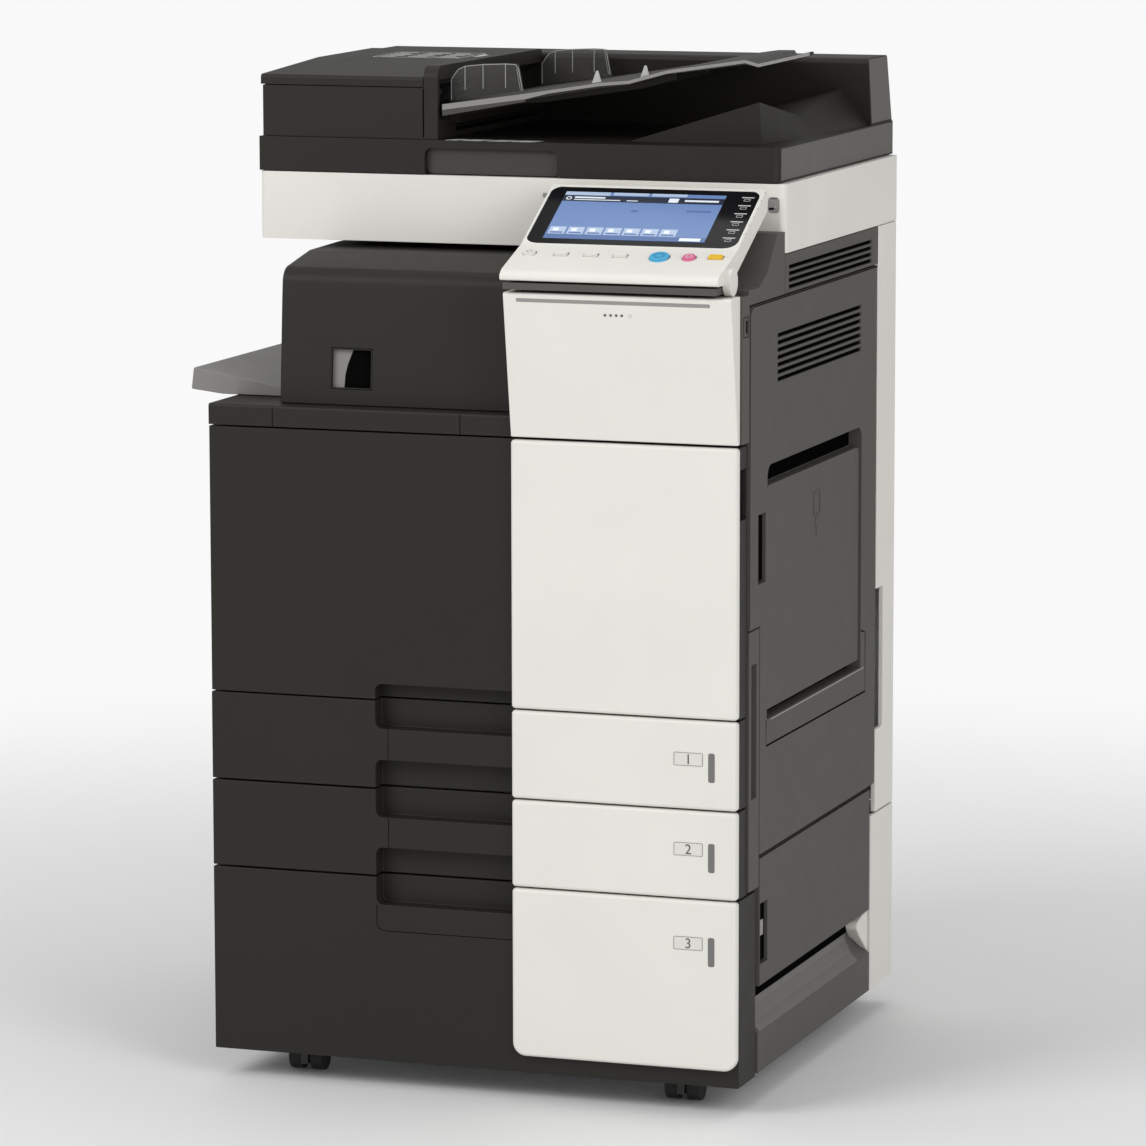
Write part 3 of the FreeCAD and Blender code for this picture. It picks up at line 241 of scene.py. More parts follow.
# ================================================================ CAD nodes
def soften(item, width):
    """Rounds the edges where faces meet at more than 40 degrees."""
    bevel = item.modifiers.new("bevel", "BEVEL")
    bevel.width = width
    bevel.segments = 3
    bevel.limit_method = "ANGLE"
    bevel.angle_limit = math.radians(40)
    item.modifiers.new("normals", "WEIGHTED_NORMAL")


def refine(item, width):
    """Rounds a CAD node's hard edges a little, without touching its mesh."""
    weld = item.modifiers.new("weld", "WELD")
    weld.merge_threshold = 0.01 * MM
    flatten = item.modifiers.new("flatten", "DECIMATE")
    flatten.decimate_type = "DISSOLVE"
    flatten.angle_limit = math.radians(0.5)
    soften(item, width)


EDGE_WIDTHS = {
    "scanner_housing": 2.5, "feeder_base": 2.0, "feeder_head": 2.0, "feeder_top_cover": 2.0,
    "slot_panel": 1.5, "output_tray": 1.2, "document_tray": 0.8, "document_guide_front": 0.5,
    "document_guide_rear": 0.5, "platen_glass": 0.3, "panel_screen": 0.4, "panel_housing": 0.8,
    "main_frame": 0.4, "cabinet_frame": 0.4,
}
slot_of = {entry["node"]: entry["material_slot"] for entry in frame["record"]["subparts"]}
for node, item in frame["nodes"].items():
    item.data.materials.clear()
    item.data.materials.append(SLOT_MATERIALS[slot_of[node]])
    refine(item, EDGE_WIDTHS.get(node, 1.0) * MM)


# ================================================================ building blocks for details
X, Y, Z = Vector((1, 0, 0)), Vector((0, 1, 0)), Vector((0, 0, 1))
body_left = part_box("left_cover")[0].x
front_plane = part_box("drawer_1_front")[0].y


class Face:
    """A flat face of the machine: u runs across it, v runs up it and w comes out of it, in mm."""

    def __init__(self, corner, across, up):
        self.corner = Vector(corner)
        self.across = Vector(across).normalized()
        self.up = Vector(up).normalized()
        self.out = self.across.cross(self.up)

    def at(self, u, v, w=0.0):
        return self.corner + (self.across * u + self.up * v + self.out * w) * MM

    def level(self, height):
        """The v at a height above the floor in mm, for a face that climbs."""
        return (height * MM - self.corner.z) / self.up.z / MM


def surface_tree(node):
    mesh = frame["nodes"][node].data
    return BVHTree.FromPolygons([v.co for v in mesh.vertices], [p.vertices for p in mesh.polygons])


def leaning_face(node, u, low, high):
    """The face met by looking at a node from the front at two heights; u counts from the body's left edge."""
    tree = surface_tree(node)
    found = [tree.ray_cast(Vector((body_left + u * MM, -FAR, height * MM)), Y)[0] for height in (low, high)]
    up = (found[1] - found[0]).normalized()
    return Face((body_left, found[0].y, found[0].z), X, up)


def rounded(u0, v0, u1, v1, radius=0.0, steps=5):
    """Corner points of a rounded rectangle, anticlockwise."""
    if radius <= 0:
        return [(u0, v0), (u1, v0), (u1, v1), (u0, v1)]
    centres = ((u1 - radius, v0 + radius, -90), (u1 - radius, v1 - radius, 0),
               (u0 + radius, v1 - radius, 90), (u0 + radius, v0 + radius, 180))
    points = []
    for cu, cv, start in centres:
        for i in range(steps + 1):
            turn = math.radians(start + 90 * i / steps)
            points.append((cu + radius * math.cos(turn), cv + radius * math.sin(turn)))
    return points


def circle(u, v, radius, sides=32, start=0):
    turns = [math.radians(start) + 2 * math.pi * i / sides for i in range(sides)]
    return [(u + radius * math.cos(t), v + radius * math.sin(t)) for t in turns]


def placed(name, data):
    """A new object, put in the scene."""
    made = bpy.data.objects.new(name, data)
    bpy.context.scene.collection.objects.link(made)
    return made


class Piece:
    """One detail of the model, built up from extruded outlines and then fixed to a body."""

    def __init__(self, name):
        self.name = name
        self.mesh = bmesh.new()

    def outline(self, face, points, w0, w1):
        """A solid between two depths of a face."""
        low = [self.mesh.verts.new(face.at(u, v, w0)) for u, v in points]
        high = [self.mesh.verts.new(face.at(u, v, w1)) for u, v in points]
        count = len(points)
        for i in range(count):
            j = (i + 1) % count
            self.mesh.faces.new((low[i], low[j], high[j], high[i]))
        self.mesh.faces.new(high)
        self.mesh.faces.new(low[::-1])
        return self

    def block(self, face, area, w0, w1, radius=0.0):
        return self.outline(face, rounded(*area, radius), w0, w1)

    def stroke(self, face, points, wide, w0, w1):
        """A strip of one width along a path."""
        path = [Vector(point) for point in points]
        sides = []
        for i, point in enumerate(path):
            ahead = (path[min(i + 1, len(path) - 1)] - path[max(i - 1, 0)]).normalized()
            sides.append(Vector((-ahead.y, ahead.x)) * wide / 2)
        left = [point + side for point, side in zip(path, sides)]
        back = [point - side for point, side in zip(path, sides)][::-1]
        return self.outline(face, left + back, w0, w1)

    def rod(self, face, u, v, radius, w0, w1):
        return self.outline(face, circle(u, v, radius), w0, w1)

    def ring(self, face, outer, inner, w0, w1):
        """A frame between two loops that have as many points."""
        loops = [[self.mesh.verts.new(face.at(u, v, w)) for u, v in points]
                 for points, w in ((outer, w0), (outer, w1), (inner, w1), (inner, w0))]
        count = len(outer)
        for a, b in zip(loops, loops[1:] + loops[:1]):
            for i in range(count):
                j = (i + 1) % count
                self.mesh.faces.new((a[i], a[j], b[j], b[i]))
        return self

    def frame(self, face, area, wide, w0, w1, radius):
        u0, v0, u1, v1 = area
        inner = rounded(u0 + wide, v0 + wide, u1 - wide, v1 - wide, max(radius - wide, 0.1))
        return self.ring(face, rounded(*area, radius), inner, w0, w1)

    def done(self, material, body, slot, bevel=0.0):
        """Turns the outlines into an object that rides on a body."""
        bmesh.ops.recalc_face_normals(self.mesh, faces=self.mesh.faces)
        data = bpy.data.meshes.new(self.name)
        self.mesh.to_mesh(data)
        self.mesh.free()
        piece = placed(self.name, data)
        data.materials.append(material)
        if bevel:
            soften(piece, bevel * MM)
        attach(piece, body)
        return piece


def arc(u, v, radius, start, end, steps=8):
    """Points round part of a circle, between two angles in degrees."""
    turns = [math.radians(start + (end - start) * i / steps) for i in range(steps + 1)]
    return [(u + radius * math.cos(t), v + radius * math.sin(t)) for t in turns]


def skyline(node, u_values, y):
    """Heights in mm of a node's top surface along a line across the machine."""
    tree = surface_tree(node)
    found = [tree.ray_cast(Vector((body_left + u * MM, y, FAR)), -Z)[0] for u in u_values]
    return [point.z / MM for point in found]


def numeral(name, text, face, u, v, height, body):
    """A raised digit centred on a point of a face."""
    digit_share = 0.7
    curve = bpy.data.curves.new(name, "FONT")
    curve.body = text
    curve.size = height * MM / digit_share
    curve.extrude = 0.1 * MM
    curve.align_x = "CENTER"
    curve.align_y = "CENTER"
    letter = bpy.data.objects.new(name + "_curve", curve)
    data = bpy.data.meshes.new_from_object(letter)
    bpy.data.objects.remove(letter)
    turn = Matrix((face.across, face.up, face.out)).transposed().to_4x4()
    data.transform(Matrix.Translation(face.at(u, v, 0.25)) @ turn)
    piece = placed(name, data)
    data.materials.append(MARK_AND_SHADE_DARK)
    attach(piece, body)


black_front = Face((body_left, front_plane, 0), X, Z)
white_front = Face((body_left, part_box("drawer_1_panel")[0].y, 0), X, Z)
slot_face = leaning_face("slot_panel", 480, 770, 860)
key_face = leaning_face("panel_housing", 400, 922, 936)
glass_face = leaning_face("panel_screen", 480, 950, 980)
scanner_face = Face((body_left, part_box("scanner_housing")[0].y, 0), X, Z)
window_face = leaning_face("finisher_cover", 158, 770, 830)

# Dark print colour, also used for painted shade round the keys and under the scanner catch's top edge.
MARK_AND_SHADE_DARK = plastic("print_and_painted_shade_dark", (0.10, 0.098, 0.095), 0.6, grain=0.05, wear=1.0)
MARK_LIGHT = plastic("printed_light", (0.55, 0.55, 0.54), 0.6, grain=0.05, wear=1.0)
# Grey print colour, also used for the painted highlight along the edge below the bypass unit.
MARK_AND_HIGHLIGHT_GREY = plastic("print_and_painted_highlight_grey", (0.27, 0.265, 0.255), 0.55, grain=0.05, wear=1.0)
# Flat unlit black for joints, slots and openings, also used as painted shade on recess floors, under the
# cabinet door and on the lever and latch.
GAP_AND_SHADE_BLACK = plastic("gap_and_painted_shade_black", (0.003, 0.003, 0.0028), 0.85, grain=0.1, wear=1.0, shine=0.0)
LABEL = plastic("label_fill", (0.66, 0.65, 0.62), 0.5, grain=0.1, wear=1.0)
INDICATOR = plastic("indicator_window", (0.14, 0.14, 0.135), 0.2, grain=0.02, wear=1.0, coat=0.6)
SILVER = plastic("silver_edge", (0.235, 0.23, 0.22), 0.4, grain=0.1, wear=1.3)
DULL_EDGE = plastic("dull_edge", (0.052, 0.050, 0.046), 0.45, grain=0.1, wear=1.1)
PAD = rubber("platen_pad", (0.78, 0.78, 0.75), 0.8)
PAPER = plastic("paper", (0.82, 0.82, 0.80), 0.8, grain=0.05, wear=1.0)
PICTURE = glowing("picture_blue", (0.105, 0.178, 0.37), 0.35)
PICTURE_DEEP = glowing("picture_deep_blue", (0.05, 0.10, 0.24), 0.5)
PICTURE_DARK = glowing("picture_dark", (0.010, 0.014, 0.03), 0.5)
PICTURE_LIGHT = glowing("picture_light", (0.33, 0.41, 0.55), 0.35)
PICTURE_WHITE = glowing("picture_white", (0.60, 0.64, 0.70), 0.4)


# ================================================================ drawers
def drawer_front(number, label_low, slot_low):
    """Number label and level indicator of one drawer."""
    body = f"drawer_{number}"
    left, right, tall, inset = 542, 575, 14.6, 0.6
    area = (left, label_low, right, label_low + tall)
    Piece(f"{body}_label_frame").frame(white_front, area, 0.7, -0.1, 0.35, 1.4).done(
        MARK_AND_HIGHLIGHT_GREY, body, "white_plastic")
    fill = (left + inset, label_low + inset, right - inset, label_low + tall - inset)
    Piece(f"{body}_label").block(white_front, fill, -0.1, 0.2).done(LABEL, body, "white_plastic")
    numeral(f"{body}_numeral", str(number), white_front, (left + right) / 2, label_low + 6.6, 11, body)
    slot = (581, slot_low, 588.4, slot_low + 32)
    Piece(f"{body}_indicator").block(white_front, slot, -0.4, 0.35, 2.2).done(
        INDICATOR, body, "display_glass", 0.2)


def paper_stack(number, fill):
    """Sheets lying in a drawer's tray, with a side guide each side and a rear stop."""
    body = f"drawer_{number}"
    low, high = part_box(body + "_tray")
    floor = Face((low.x, low.y, low.z), X, Y)
    width, depth = (high.x - low.x) / MM, (high.y - low.y) / MM
    inner = 5
    side, front, rear = 60, 70, 90
    Piece(f"{body}_paper").block(floor, (side, front, width - side, depth - rear), inner, inner + fill).done(
        PAPER, body, "tray_plastic", 0.4)
    guides = Piece(f"{body}_guides")
    guide_top = inner + fill + 12
    for u in (side - 6, width - side + 3):
        guides.block(floor, (u, 180, u + 3, depth - 180), inner, guide_top)
    stop = (width / 2 - 30, depth - rear + 4, width / 2 + 30, depth - rear + 7)
    guides.block(floor, stop, inner, guide_top)
    guides.done(MARK_AND_HIGHLIGHT_GREY, body, "tray_plastic", 0.5)


def insert_seams():
    """Fine joints round the grip inserts between the finger pockets."""
    for number, low, high in ((1, 370, 406), (2, 272, 306)):
        Piece(f"drawer_{number}_insert_seam").block(black_front, (208.6, low, 209.3, high), -0.3, 0.12).done(
            GAP_AND_SHADE_BLACK, f"drawer_{number}", "black_plastic")
    path = [(194.4, 208)] + arc(204.4, 189, 10, 180, 270) + [(355, 179)]
    Piece("drawer_3_insert_seam").stroke(black_front, path, 0.8, -0.3, 0.12).done(
        GAP_AND_SHADE_BLACK, "drawer_3", "black_plastic")


insert_seams()
drawer_front(1, 386.6, 369.5)
drawer_front(2, 288, 270.7)
drawer_front(3, 184.4, 167.3)
for number, fill in ((1, 30), (2, 42), (3, 36)):
    paper_stack(number, fill)


# ================================================================ leaning panel above the door
def slot_panel_details():
    """Slot, four status dots and a ring on the leaning panel."""
    v = slot_face.level
    row = v(872.5)
    Piece("card_slot").block(slot_face, (371, v(884), 589, v(888)), -0.5, 0.25, 1.6).done(
        MARK_AND_HIGHLIGHT_GREY, "copier_body", "black_plastic", 0.1)
    dots = Piece("status_dots")
    for i in range(4):
        dots.rod(slot_face, 471 + 6.3 * i, row, 1.5, -0.2, 0.3)
    dots.done(MARK_AND_SHADE_DARK, "copier_body", "black_plastic")
    Piece("status_ring").ring(slot_face, circle(499, row, 2), circle(499, row, 1.2), -0.2, 0.3).done(
        MARK_LIGHT, "copier_body", "black_plastic")


slot_panel_details()


# ================================================================ finisher window
def finisher_window():
    """Dark pane with the grey shape of the paper guide on it, in a thin rim."""
    left, right, pane = 133, 183, -6
    low, high = window_face.level(775.5), window_face.level(819.5)
    Piece("window_pane").block(window_face, (left, low - 1, right, high + 1), pane - 3, pane, 3).done(
        GAP_AND_SHADE_BLACK, "copier_body", "display_glass")
    tall = high - low
    shape = [(left + 1.5, low), (148, low), (149, low + tall * 0.35), (152, low + tall * 0.62),
             (158.5, high), (left + 1.5, high)]
    Piece("window_paper_guide").outline(window_face, shape, pane, pane + 0.4).done(
        TRAY_GREY, "copier_body", "tray_grey_plastic")
    Piece("window_rim").frame(window_face, (left + 0.6, low, right - 0.6, high), 1.2, pane, 0.4, 3).done(
        BLACK, "copier_body", "black_plastic", 0.2)


finisher_window()


# ================================================================ control panel
GLASS_THICK = 3
GLASS_EDGE = GLASS_THICK * glass_face.up.y / glass_face.up.z
GLASS_TALL = 110
GLASS_ROUND = 13


def glass_corners():
    """White bezel corners that round off the display glass."""
    low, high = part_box("panel_screen")
    left, right = (low.x - body_left) / MM - 0.4, (high.x - body_left) / MM + 0.4
    foot = glass_face.level(low.z / MM) + GLASS_EDGE - 0.4
    top = foot + GLASS_TALL + 0.8
    r = GLASS_ROUND
    corners = Piece("glass_corners")
    for u, v, start in ((left, foot, 180), (right, foot, 270), (right, top, 0), (left, top, 90)):
        centre = (u + r if u == left else u - r, v + r if v == foot else v - r)
        corners.outline(glass_face, [(u, v)] + arc(*centre, r, start + 90, start), -0.3, 0.3)
    corners.done(WHITE, "control_panel", "white_plastic")


def lit_screen():
    """The display's picture and its touch keys: blocks and bars only, no words."""
    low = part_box("panel_screen")[0]
    left = (low.x - body_left) / MM + 18
    foot = glass_face.level(low.z / MM) + GLASS_EDGE
    v0 = foot + 9.5
    wide, tall = 183, 91
    lift = 0.15

    def area(u0, t0, u1, t1):
        return left + u0 * wide, v0 + t0 * tall, left + u1 * wide, v0 + t1 * tall

    def lay(name, material, areas, depth, radius=0.0):
        made = Piece(name)
        for spot in areas:
            made.block(glass_face, area(*spot), 0, lift * depth, radius)
        made.done(material, "control_panel", "display_glass")

    lay("picture", PICTURE, [(0, 0, 1, 1)], 1)
    lay("picture_tabs", PICTURE_LIGHT, [(0, 0.93, 0.28, 1), (0.3, 0.945, 0.52, 1), (0.54, 0.945, 0.76, 1)], 2)
    lay("picture_header", PICTURE_DARK, [(0, 0.80, 1, 0.925)], 2)
    lay("picture_header_bars", PICTURE_WHITE,
        [(0.07, 0.865, 0.26, 0.895), (0.07, 0.825, 0.36, 0.84), (0.40, 0.825, 0.47, 0.84),
         (0.66, 0.82, 0.72, 0.905), (0.76, 0.845, 0.97, 0.88)], 3)
    lay("picture_band", PICTURE_DEEP, [(0, 0, 1, 0.09)], 2)
    tiles = [(0.015 + 0.115 * i, 0.10, 0.115 + 0.115 * i, 0.25) for i in range(7)]
    lay("picture_tiles", PICTURE_LIGHT, tiles, 2)
    icons = [(u0 + 0.02, t0 + 0.06, u0 + 0.055, t0 + 0.12) for u0, t0, _, _ in tiles]
    lay("picture_icons", PICTURE_WHITE, icons, 3)
    captions = [(u0 + 0.012, t0 + 0.015, u0 + 0.088, t0 + 0.04) for u0, t0, _, _ in tiles]
    lay("picture_captions", PICTURE_DEEP, captions + [(0.80, 0.63, 0.95, 0.66), (0.46, 0.6, 0.5, 0.64)], 3)
    lay("picture_button", PICTURE_WHITE, [(0.84, 0.015, 0.97, 0.075)], 3)
    u, v = area(0.035, 0.86, 0, 0)[:2]
    Piece("picture_ring").ring(glass_face, circle(u, v, 3.2), circle(u, v, 2), 0, lift * 3).done(
        PICTURE_WHITE, "control_panel", "display_glass")
    keys = Piece("touch_keys")
    for i in range(6):
        v = v0 + tall * (0.93 - 0.172 * i)
        u = left + wide + 25
        keys.frame(glass_face, (u - 3.5, v - 3.2, u + 3.5, v + 1.2), 0.5, 0, lift, 0.8)
        keys.block(glass_face, (u - 7, v + 3, u + 7, v + 4.6), 0, lift)
    keys.done(MARK_LIGHT, "control_panel", "display_glass")


def key_top(name):
    """A face whose middle is the middle of a key's top."""
    low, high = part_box(name)
    above = Vector(((low.x + high.x) / 2, (low.y + high.y) / 2, FAR))
    return Face(surface_tree(name).ray_cast(above, -Z)[0], X, key_face.up)


def key_caps():
    """Rounded caps on the keys, a dark ring round each for its fine gap darkened as painted shadow at its
    foot, small symbols, and dots beside the display.
    """
    gap_shadows, marks = Piece("key_gap_shadows"), Piece("key_marks")
    for name, material, half_depth in KEYS:
        low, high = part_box(name)
        half = (high.x - low.x) / 2 / MM - 0.5
        top = key_top(name)
        ground = Face(top.at(0, 0, -KEY_PROUD), X, key_face.up)
        cap = Piece(name + "_cap")
        if half_depth:
            cap.block(top, (-half, -half_depth, half, half_depth), CAP_FOOT, CAP, 1.2)
            gap = (-half - 1.3, -half_depth - 1.3, half + 1.3, half_depth + 1.3)
            # The dark ring stands for the key's gap, darkened further as painted shadow round its foot.
            gap_shadows.frame(ground, gap, 1.1, -0.1, 0.15, 2)
            marks.block(ground, (-2.5, half_depth + 3, 2.5, half_depth + 4.2), -0.1, 0.2)
        else:
            cap.rod(top, 0, 0, half, CAP_FOOT, CAP)
            gap_shadows.ring(ground, circle(0, 0, half + 1.2), circle(0, 0, half + 0.4), -0.1, 0.15)
            ring = circle(0, 0, half * 0.55), circle(0, 0, half * 0.55 - 0.9)
            Piece(name + "_ring").ring(top, *ring, CAP - 0.1, CAP + 0.12).done(
                KEY_RINGS[name], name, "display_glass")
        cap.done(material, name, "display_glass", 0.6)
    gap_shadows.done(MARK_AND_SHADE_DARK, "control_panel", "white_plastic")
    marks.done(MARK_AND_SHADE_DARK, "control_panel", "white_plastic")
    stylus = Piece("stylus_dots")
    edge = (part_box("panel_screen")[1].x - body_left) / MM + 4
    for i in range(6):
        stylus.rod(glass_face, edge, 12 + 16 * i, 0.7, -0.1, 0.2)
    stylus.done(MARK_AND_HIGHLIGHT_GREY, "control_panel", "white_plastic")


# key, cap material, half depth of a rectangular cap (0 for a round one)
KEYS = (
    ("power_button", WHITE, 0),
    ("key_left", WHITE, 3.2),
    ("key_middle", WHITE, 3.2),
    ("key_right", WHITE, 3.2),
    ("start_button", BLUE, 0),
    ("stop_button", PINK, 0),
    ("reset_button", YELLOW, 3.7),
)
KEY_PROUD = 1.2
CAP_FOOT = 0.15
CAP = 1.4
KEY_RING = plastic("key_ring", (0.02, 0.12, 0.24), 0.3, grain=0.03, wear=1.0)
KEY_RINGS = {"power_button": MARK_AND_HIGHLIGHT_GREY, "start_button": KEY_RING, "stop_button": MARK_LIGHT}
glass_corners()
lit_screen()
key_caps()


# ================================================================ scanner and feeder
DECK = 1040


def platen_details():
    """Pad under the feeder, and the ruled edges round the platen."""
    low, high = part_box("feeder_base")
    under = Face((low.x, high.y, low.z), X, -Y)
    platen_low, platen_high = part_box("platen_glass")
    u0 = (platen_low.x - low.x) / MM
    u1 = (platen_high.x - low.x) / MM
    v0 = (high.y - platen_high.y) / MM
    v1 = (high.y - platen_low.y) / MM
    rim = 6
    Piece("platen_pad").block(under, (u0 - rim, v0 - rim, u1 + rim, v1 + rim), -0.4, 0.6, 3).done(
        PAD, "feeder", "white_plastic", 0.3)
    deck = Face((platen_low.x, platen_low.y, platen_high.z), X, Y)
    marks = Piece("size_marks")
    places = [22 + 46 * i for i in range(9)]
    for u in places:
        marks.block(deck, (u, -9, u + 0.8, -3), -0.3, 0.25)
    for v in places[:6]:
        marks.block(deck, (-9, v, -3, v + 0.8), -0.3, 0.25)
    marks.done(MARK_AND_SHADE_DARK, "copier_body", "white_plastic")


platen_details()


def document_tray_edge():
    """Pale band and dull lip on the tray's front edge, two fins on its slope and the beams under it."""
    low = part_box("document_tray")[0]
    face = Face((body_left, low.y, 0), X, Z)
    bend = 320
    across = [216.5, 230, 260, 290, 314, 340, 370, 401, 418, 434,
              450, 464, 478, 500, 530, 560, 567, 582, 600, 640]
    edge = list(zip(across, skyline("document_tray", across, low.y + 4 * MM)))
    band = [(u, v - 0.4) for u, v in edge]
    lower = [(u, v - (6.5 if u < bend else 4)) for u, v in edge][::-1]
    Piece("tray_edge_band").outline(face, band + lower, -0.3, 0.6).done(
        SILVER, "document_tray", "black_plastic", 0.2)
    flat = [(u, v) for u, v in edge if u < bend]
    lip = [(u, v - 6.6) for u, v in flat] + [(u, v - 9 - (bend - u) * 0.04) for u, v in flat][::-1]
    Piece("tray_edge_lip").outline(face, lip, -1.5, 0.3).done(
        DULL_EDGE, "document_tray", "black_plastic", 0.2)
    for i, u in enumerate((385, 441)):
        y = 195 * MM + front_plane
        foot = min(skyline("document_tray", (u - 7, u + 7), y)) - 1
        tip = foot + 15
        fin_face = Face((body_left, y, 0), X, Z)
        fin = [(u - 6, foot), (u + 6, foot), (u + 1.5, tip), (u - 0.5, tip)]
        Piece(f"tray_fin_{i}").outline(fin_face, fin, -1.2, 1.2).done(
            MARK_LIGHT, "document_tray", "black_plastic", 0.4)
    beam = [(232, 1081), (315, 1089), (401, 1102.5), (434, 1106.5), (470, 1116),
            (470, 1108), (434, 1098), (401, 1093), (315, 1080), (232, 1074)]
    under = Piece("tray_beams")
    for y in (215, 330, 445):
        under.outline(Face((body_left, front_plane + y * MM, 0), X, Z), beam, -3, 3)
    under.done(BLACK, "document_tray", "black_plastic", 0.6)


def guide_ribs(name):
    """Upright ribs in light grey and a painted highlight along the top edge of one sheet guide."""
    low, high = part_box(name)
    face = Face((body_left, low.y, 0), X, Z)
    left = (low.x - body_left) / MM
    wide = (high.x - low.x) / MM
    rim = [left + wide * share for share in (0.01, 0.06, 0.11, 0.2, 0.32, 0.45, 0.6, 0.76, 0.9, 0.94)]
    heights = skyline(name, rim, (low.y + high.y) / 2)
    foot = low.z / MM
    ribs = Piece(name + "_ribs")
    for index in (3, 5, 7):
        u, top = rim[index], heights[index]
        ribs.block(face, (u - 0.4, top - 27, u + 0.4, top - 1), -0.3, 0.6)
    edge = [(rim[0], foot + 2)] + [(u, top - 0.6) for u, top in zip(rim, heights)]
    edge += [(left + wide - 0.6, foot + 14)]
    # Painted highlight: a light strip along the guide's top edge and down its end.
    ribs.stroke(face, edge, 0.8, -0.3, 0.6)
    ribs.stroke(face, [(u - 2.2, v) for u, v in edge[-2:]], 0.5, -0.3, 0.6)
    ribs.done(RIB_AND_EDGE_HIGHLIGHT, name, "clear_plastic", 0.1)


def lid_label():
    """Unlettered loading guide on the lid: light bars, a page outline and a pointer."""
    tree = surface_tree("feeder_top_cover")
    spots = [tree.ray_cast(Vector((body_left + 120 * MM, front_plane + y * MM, FAR)), -Z)[0]
             for y in (360, 470)]
    face = Face((body_left, *spots[0].yz), X, spots[1] - spots[0])
    label = Piece("lid_label_bars")
    for row in range(5):
        for column in range(3):
            u, v = 66 + 34 * column, 16 * row
            length = 18 + 5 * ((row + column) % 3)
            label.block(face, (u, v, u + length, v + 4), -0.1, 0.2)
    label.frame(face, (60, -10, 166, 82), 1, -0.1, 0.15, 3)
    label.done(MARK_LIGHT, "feeder_top_cover", "black_plastic")
    pointer = [(172, 20), (186, 34), (186, 46), (172, 60)]
    Piece("lid_pointer").outline(face, pointer, -0.1, 0.3).done(
        MARK_LIGHT, "feeder_top_cover", "black_plastic")


def feeder_marks():
    """Dark line at the joint between casing and cheek, partly painted shadow where the cheek steps back,
    light marks on the deck's front edge, and the grip's lining.
    """
    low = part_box("feeder_head")[0]
    face = Face((body_left, low.y, 0), X, Z)
    # Painted shadow along the joint where the cheek steps back.
    Piece("cheek_seam_shadow").block(face, (194.4, low.z / MM + 2, 196, 1096), -0.5, 0.12).done(
        GAP_AND_SHADE_BLACK, "feeder", "black_plastic")
    slab_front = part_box("feeder_base")[0].y
    deck = Face((body_left, slab_front, DECK * MM), X, Y)
    marks = Piece("deck_marks")
    for u0, u1 in ((221, 234), (240, 262), (270, 292), (298, 322)):
        marks.outline(deck, [(u0, 2.5), (u1, 2.5), (u1 + 8, 20), (u0 + 8, 20)], -0.1, 0.25)
    marks.done(MARK_LIGHT, "feeder", "black_plastic")
    front = Face((body_left, slab_front, 0), X, Z)
    Piece("grip_lining").block(front, (197.5, 1002.5, 351.5, 1030.5), -8.9, -7.5, 7).done(
        GRIP, "feeder", "black_plastic")


def scanner_marks():
    """Catch recess with its slot and pin, painted shade under the catch's top edge, and the panel stop, on
    the scanner's front.
    """
    Piece("scanner_catch").block(scanner_face, (595, 969.5, 608, 987), -0.2, 0.3, 4).done(
        MARK_AND_HIGHLIGHT_GREY, "copier_body", "white_plastic", 0.2)
    Piece("scanner_catch_shade").block(scanner_face, (597.5, 984.6, 605, 986.2), 0, 0.45, 0.7).done(
        MARK_AND_SHADE_DARK, "copier_body", "white_plastic")
    Piece("scanner_catch_slot").block(scanner_face, (596, 973, 602, 975.4), 0, 0.5, 1).done(
        GAP_AND_SHADE_BLACK, "copier_body", "white_plastic")
    Piece("scanner_catch_pin").rod(scanner_face, 603.2, 976.2, 1.2, 0, 1.2).done(
        STEEL, "copier_body", "frame_steel", 0.3)
    Piece("scanner_stop").block(scanner_face, (336, 980, 343, 985), 0, 1, 1).done(
        MARK_AND_HIGHLIGHT_GREY, "copier_body", "white_plastic", 0.3)


def feed_rollers():
    """Shafts with rubber rollers in the feeder's hollow, seen when its top cover is open."""
    shafts, rollers = Piece("feed_shafts"), Piece("feed_rollers")
    height = DECK + 38
    front, rear, roller_long = 163, 499, 40
    for u in (70, 130):
        shafts.rod(black_front, u, height, 4, -rear, -front)
        for y in (240, 310, 380):
            rollers.rod(black_front, u, height, 12, -y - roller_long, -y)
    shafts.done(STEEL, "feeder", "frame_steel", 0.4)
    rollers.done(TYRE, "feeder", "roller_rubber", 0.8)


# Light grey for the guides' ribs, also used as the painted highlight on their top edges.
RIB_AND_EDGE_HIGHLIGHT = plastic("guide_rib_and_edge_highlight", (0.30, 0.30, 0.30), 0.35, grain=0.05, wear=1.2)
document_tray_edge()
guide_ribs("document_guide_front")
guide_ribs("document_guide_rear")
GRIP = plastic("grip_lining", (0.042, 0.039, 0.034), 0.5, grain=0.3, wear=1.1)
lid_label()
feeder_marks()
feed_rollers()
scanner_marks()


# ================================================================ inside the front door
JOURNAL_PROUD = 4
COVER_THICK = 6
SCREW_INSET = 12


def screws(prefix, spots):
    """Pan-head screws with cross slots, each at a face, a u and a v."""
    heads, slots = Piece(prefix + "_screws"), Piece(prefix + "_screw_slots")
    radius, proud = 4, 1.6
    long, short = 2.4, 0.5
    for face, u, v in spots:
        heads.rod(face, u, v, radius, -0.3, proud)
        for half_u, half_v in ((long, short), (short, long)):
            slots.block(face, (u - half_u, v - half_v, u + half_u, v + half_v), proud - 0.2, proud + 0.15)
    heads.done(STEEL, "copier_body", "frame_steel", 0.5)
    slots.done(GAP_AND_SHADE_BLACK, "copier_body", "frame_steel")


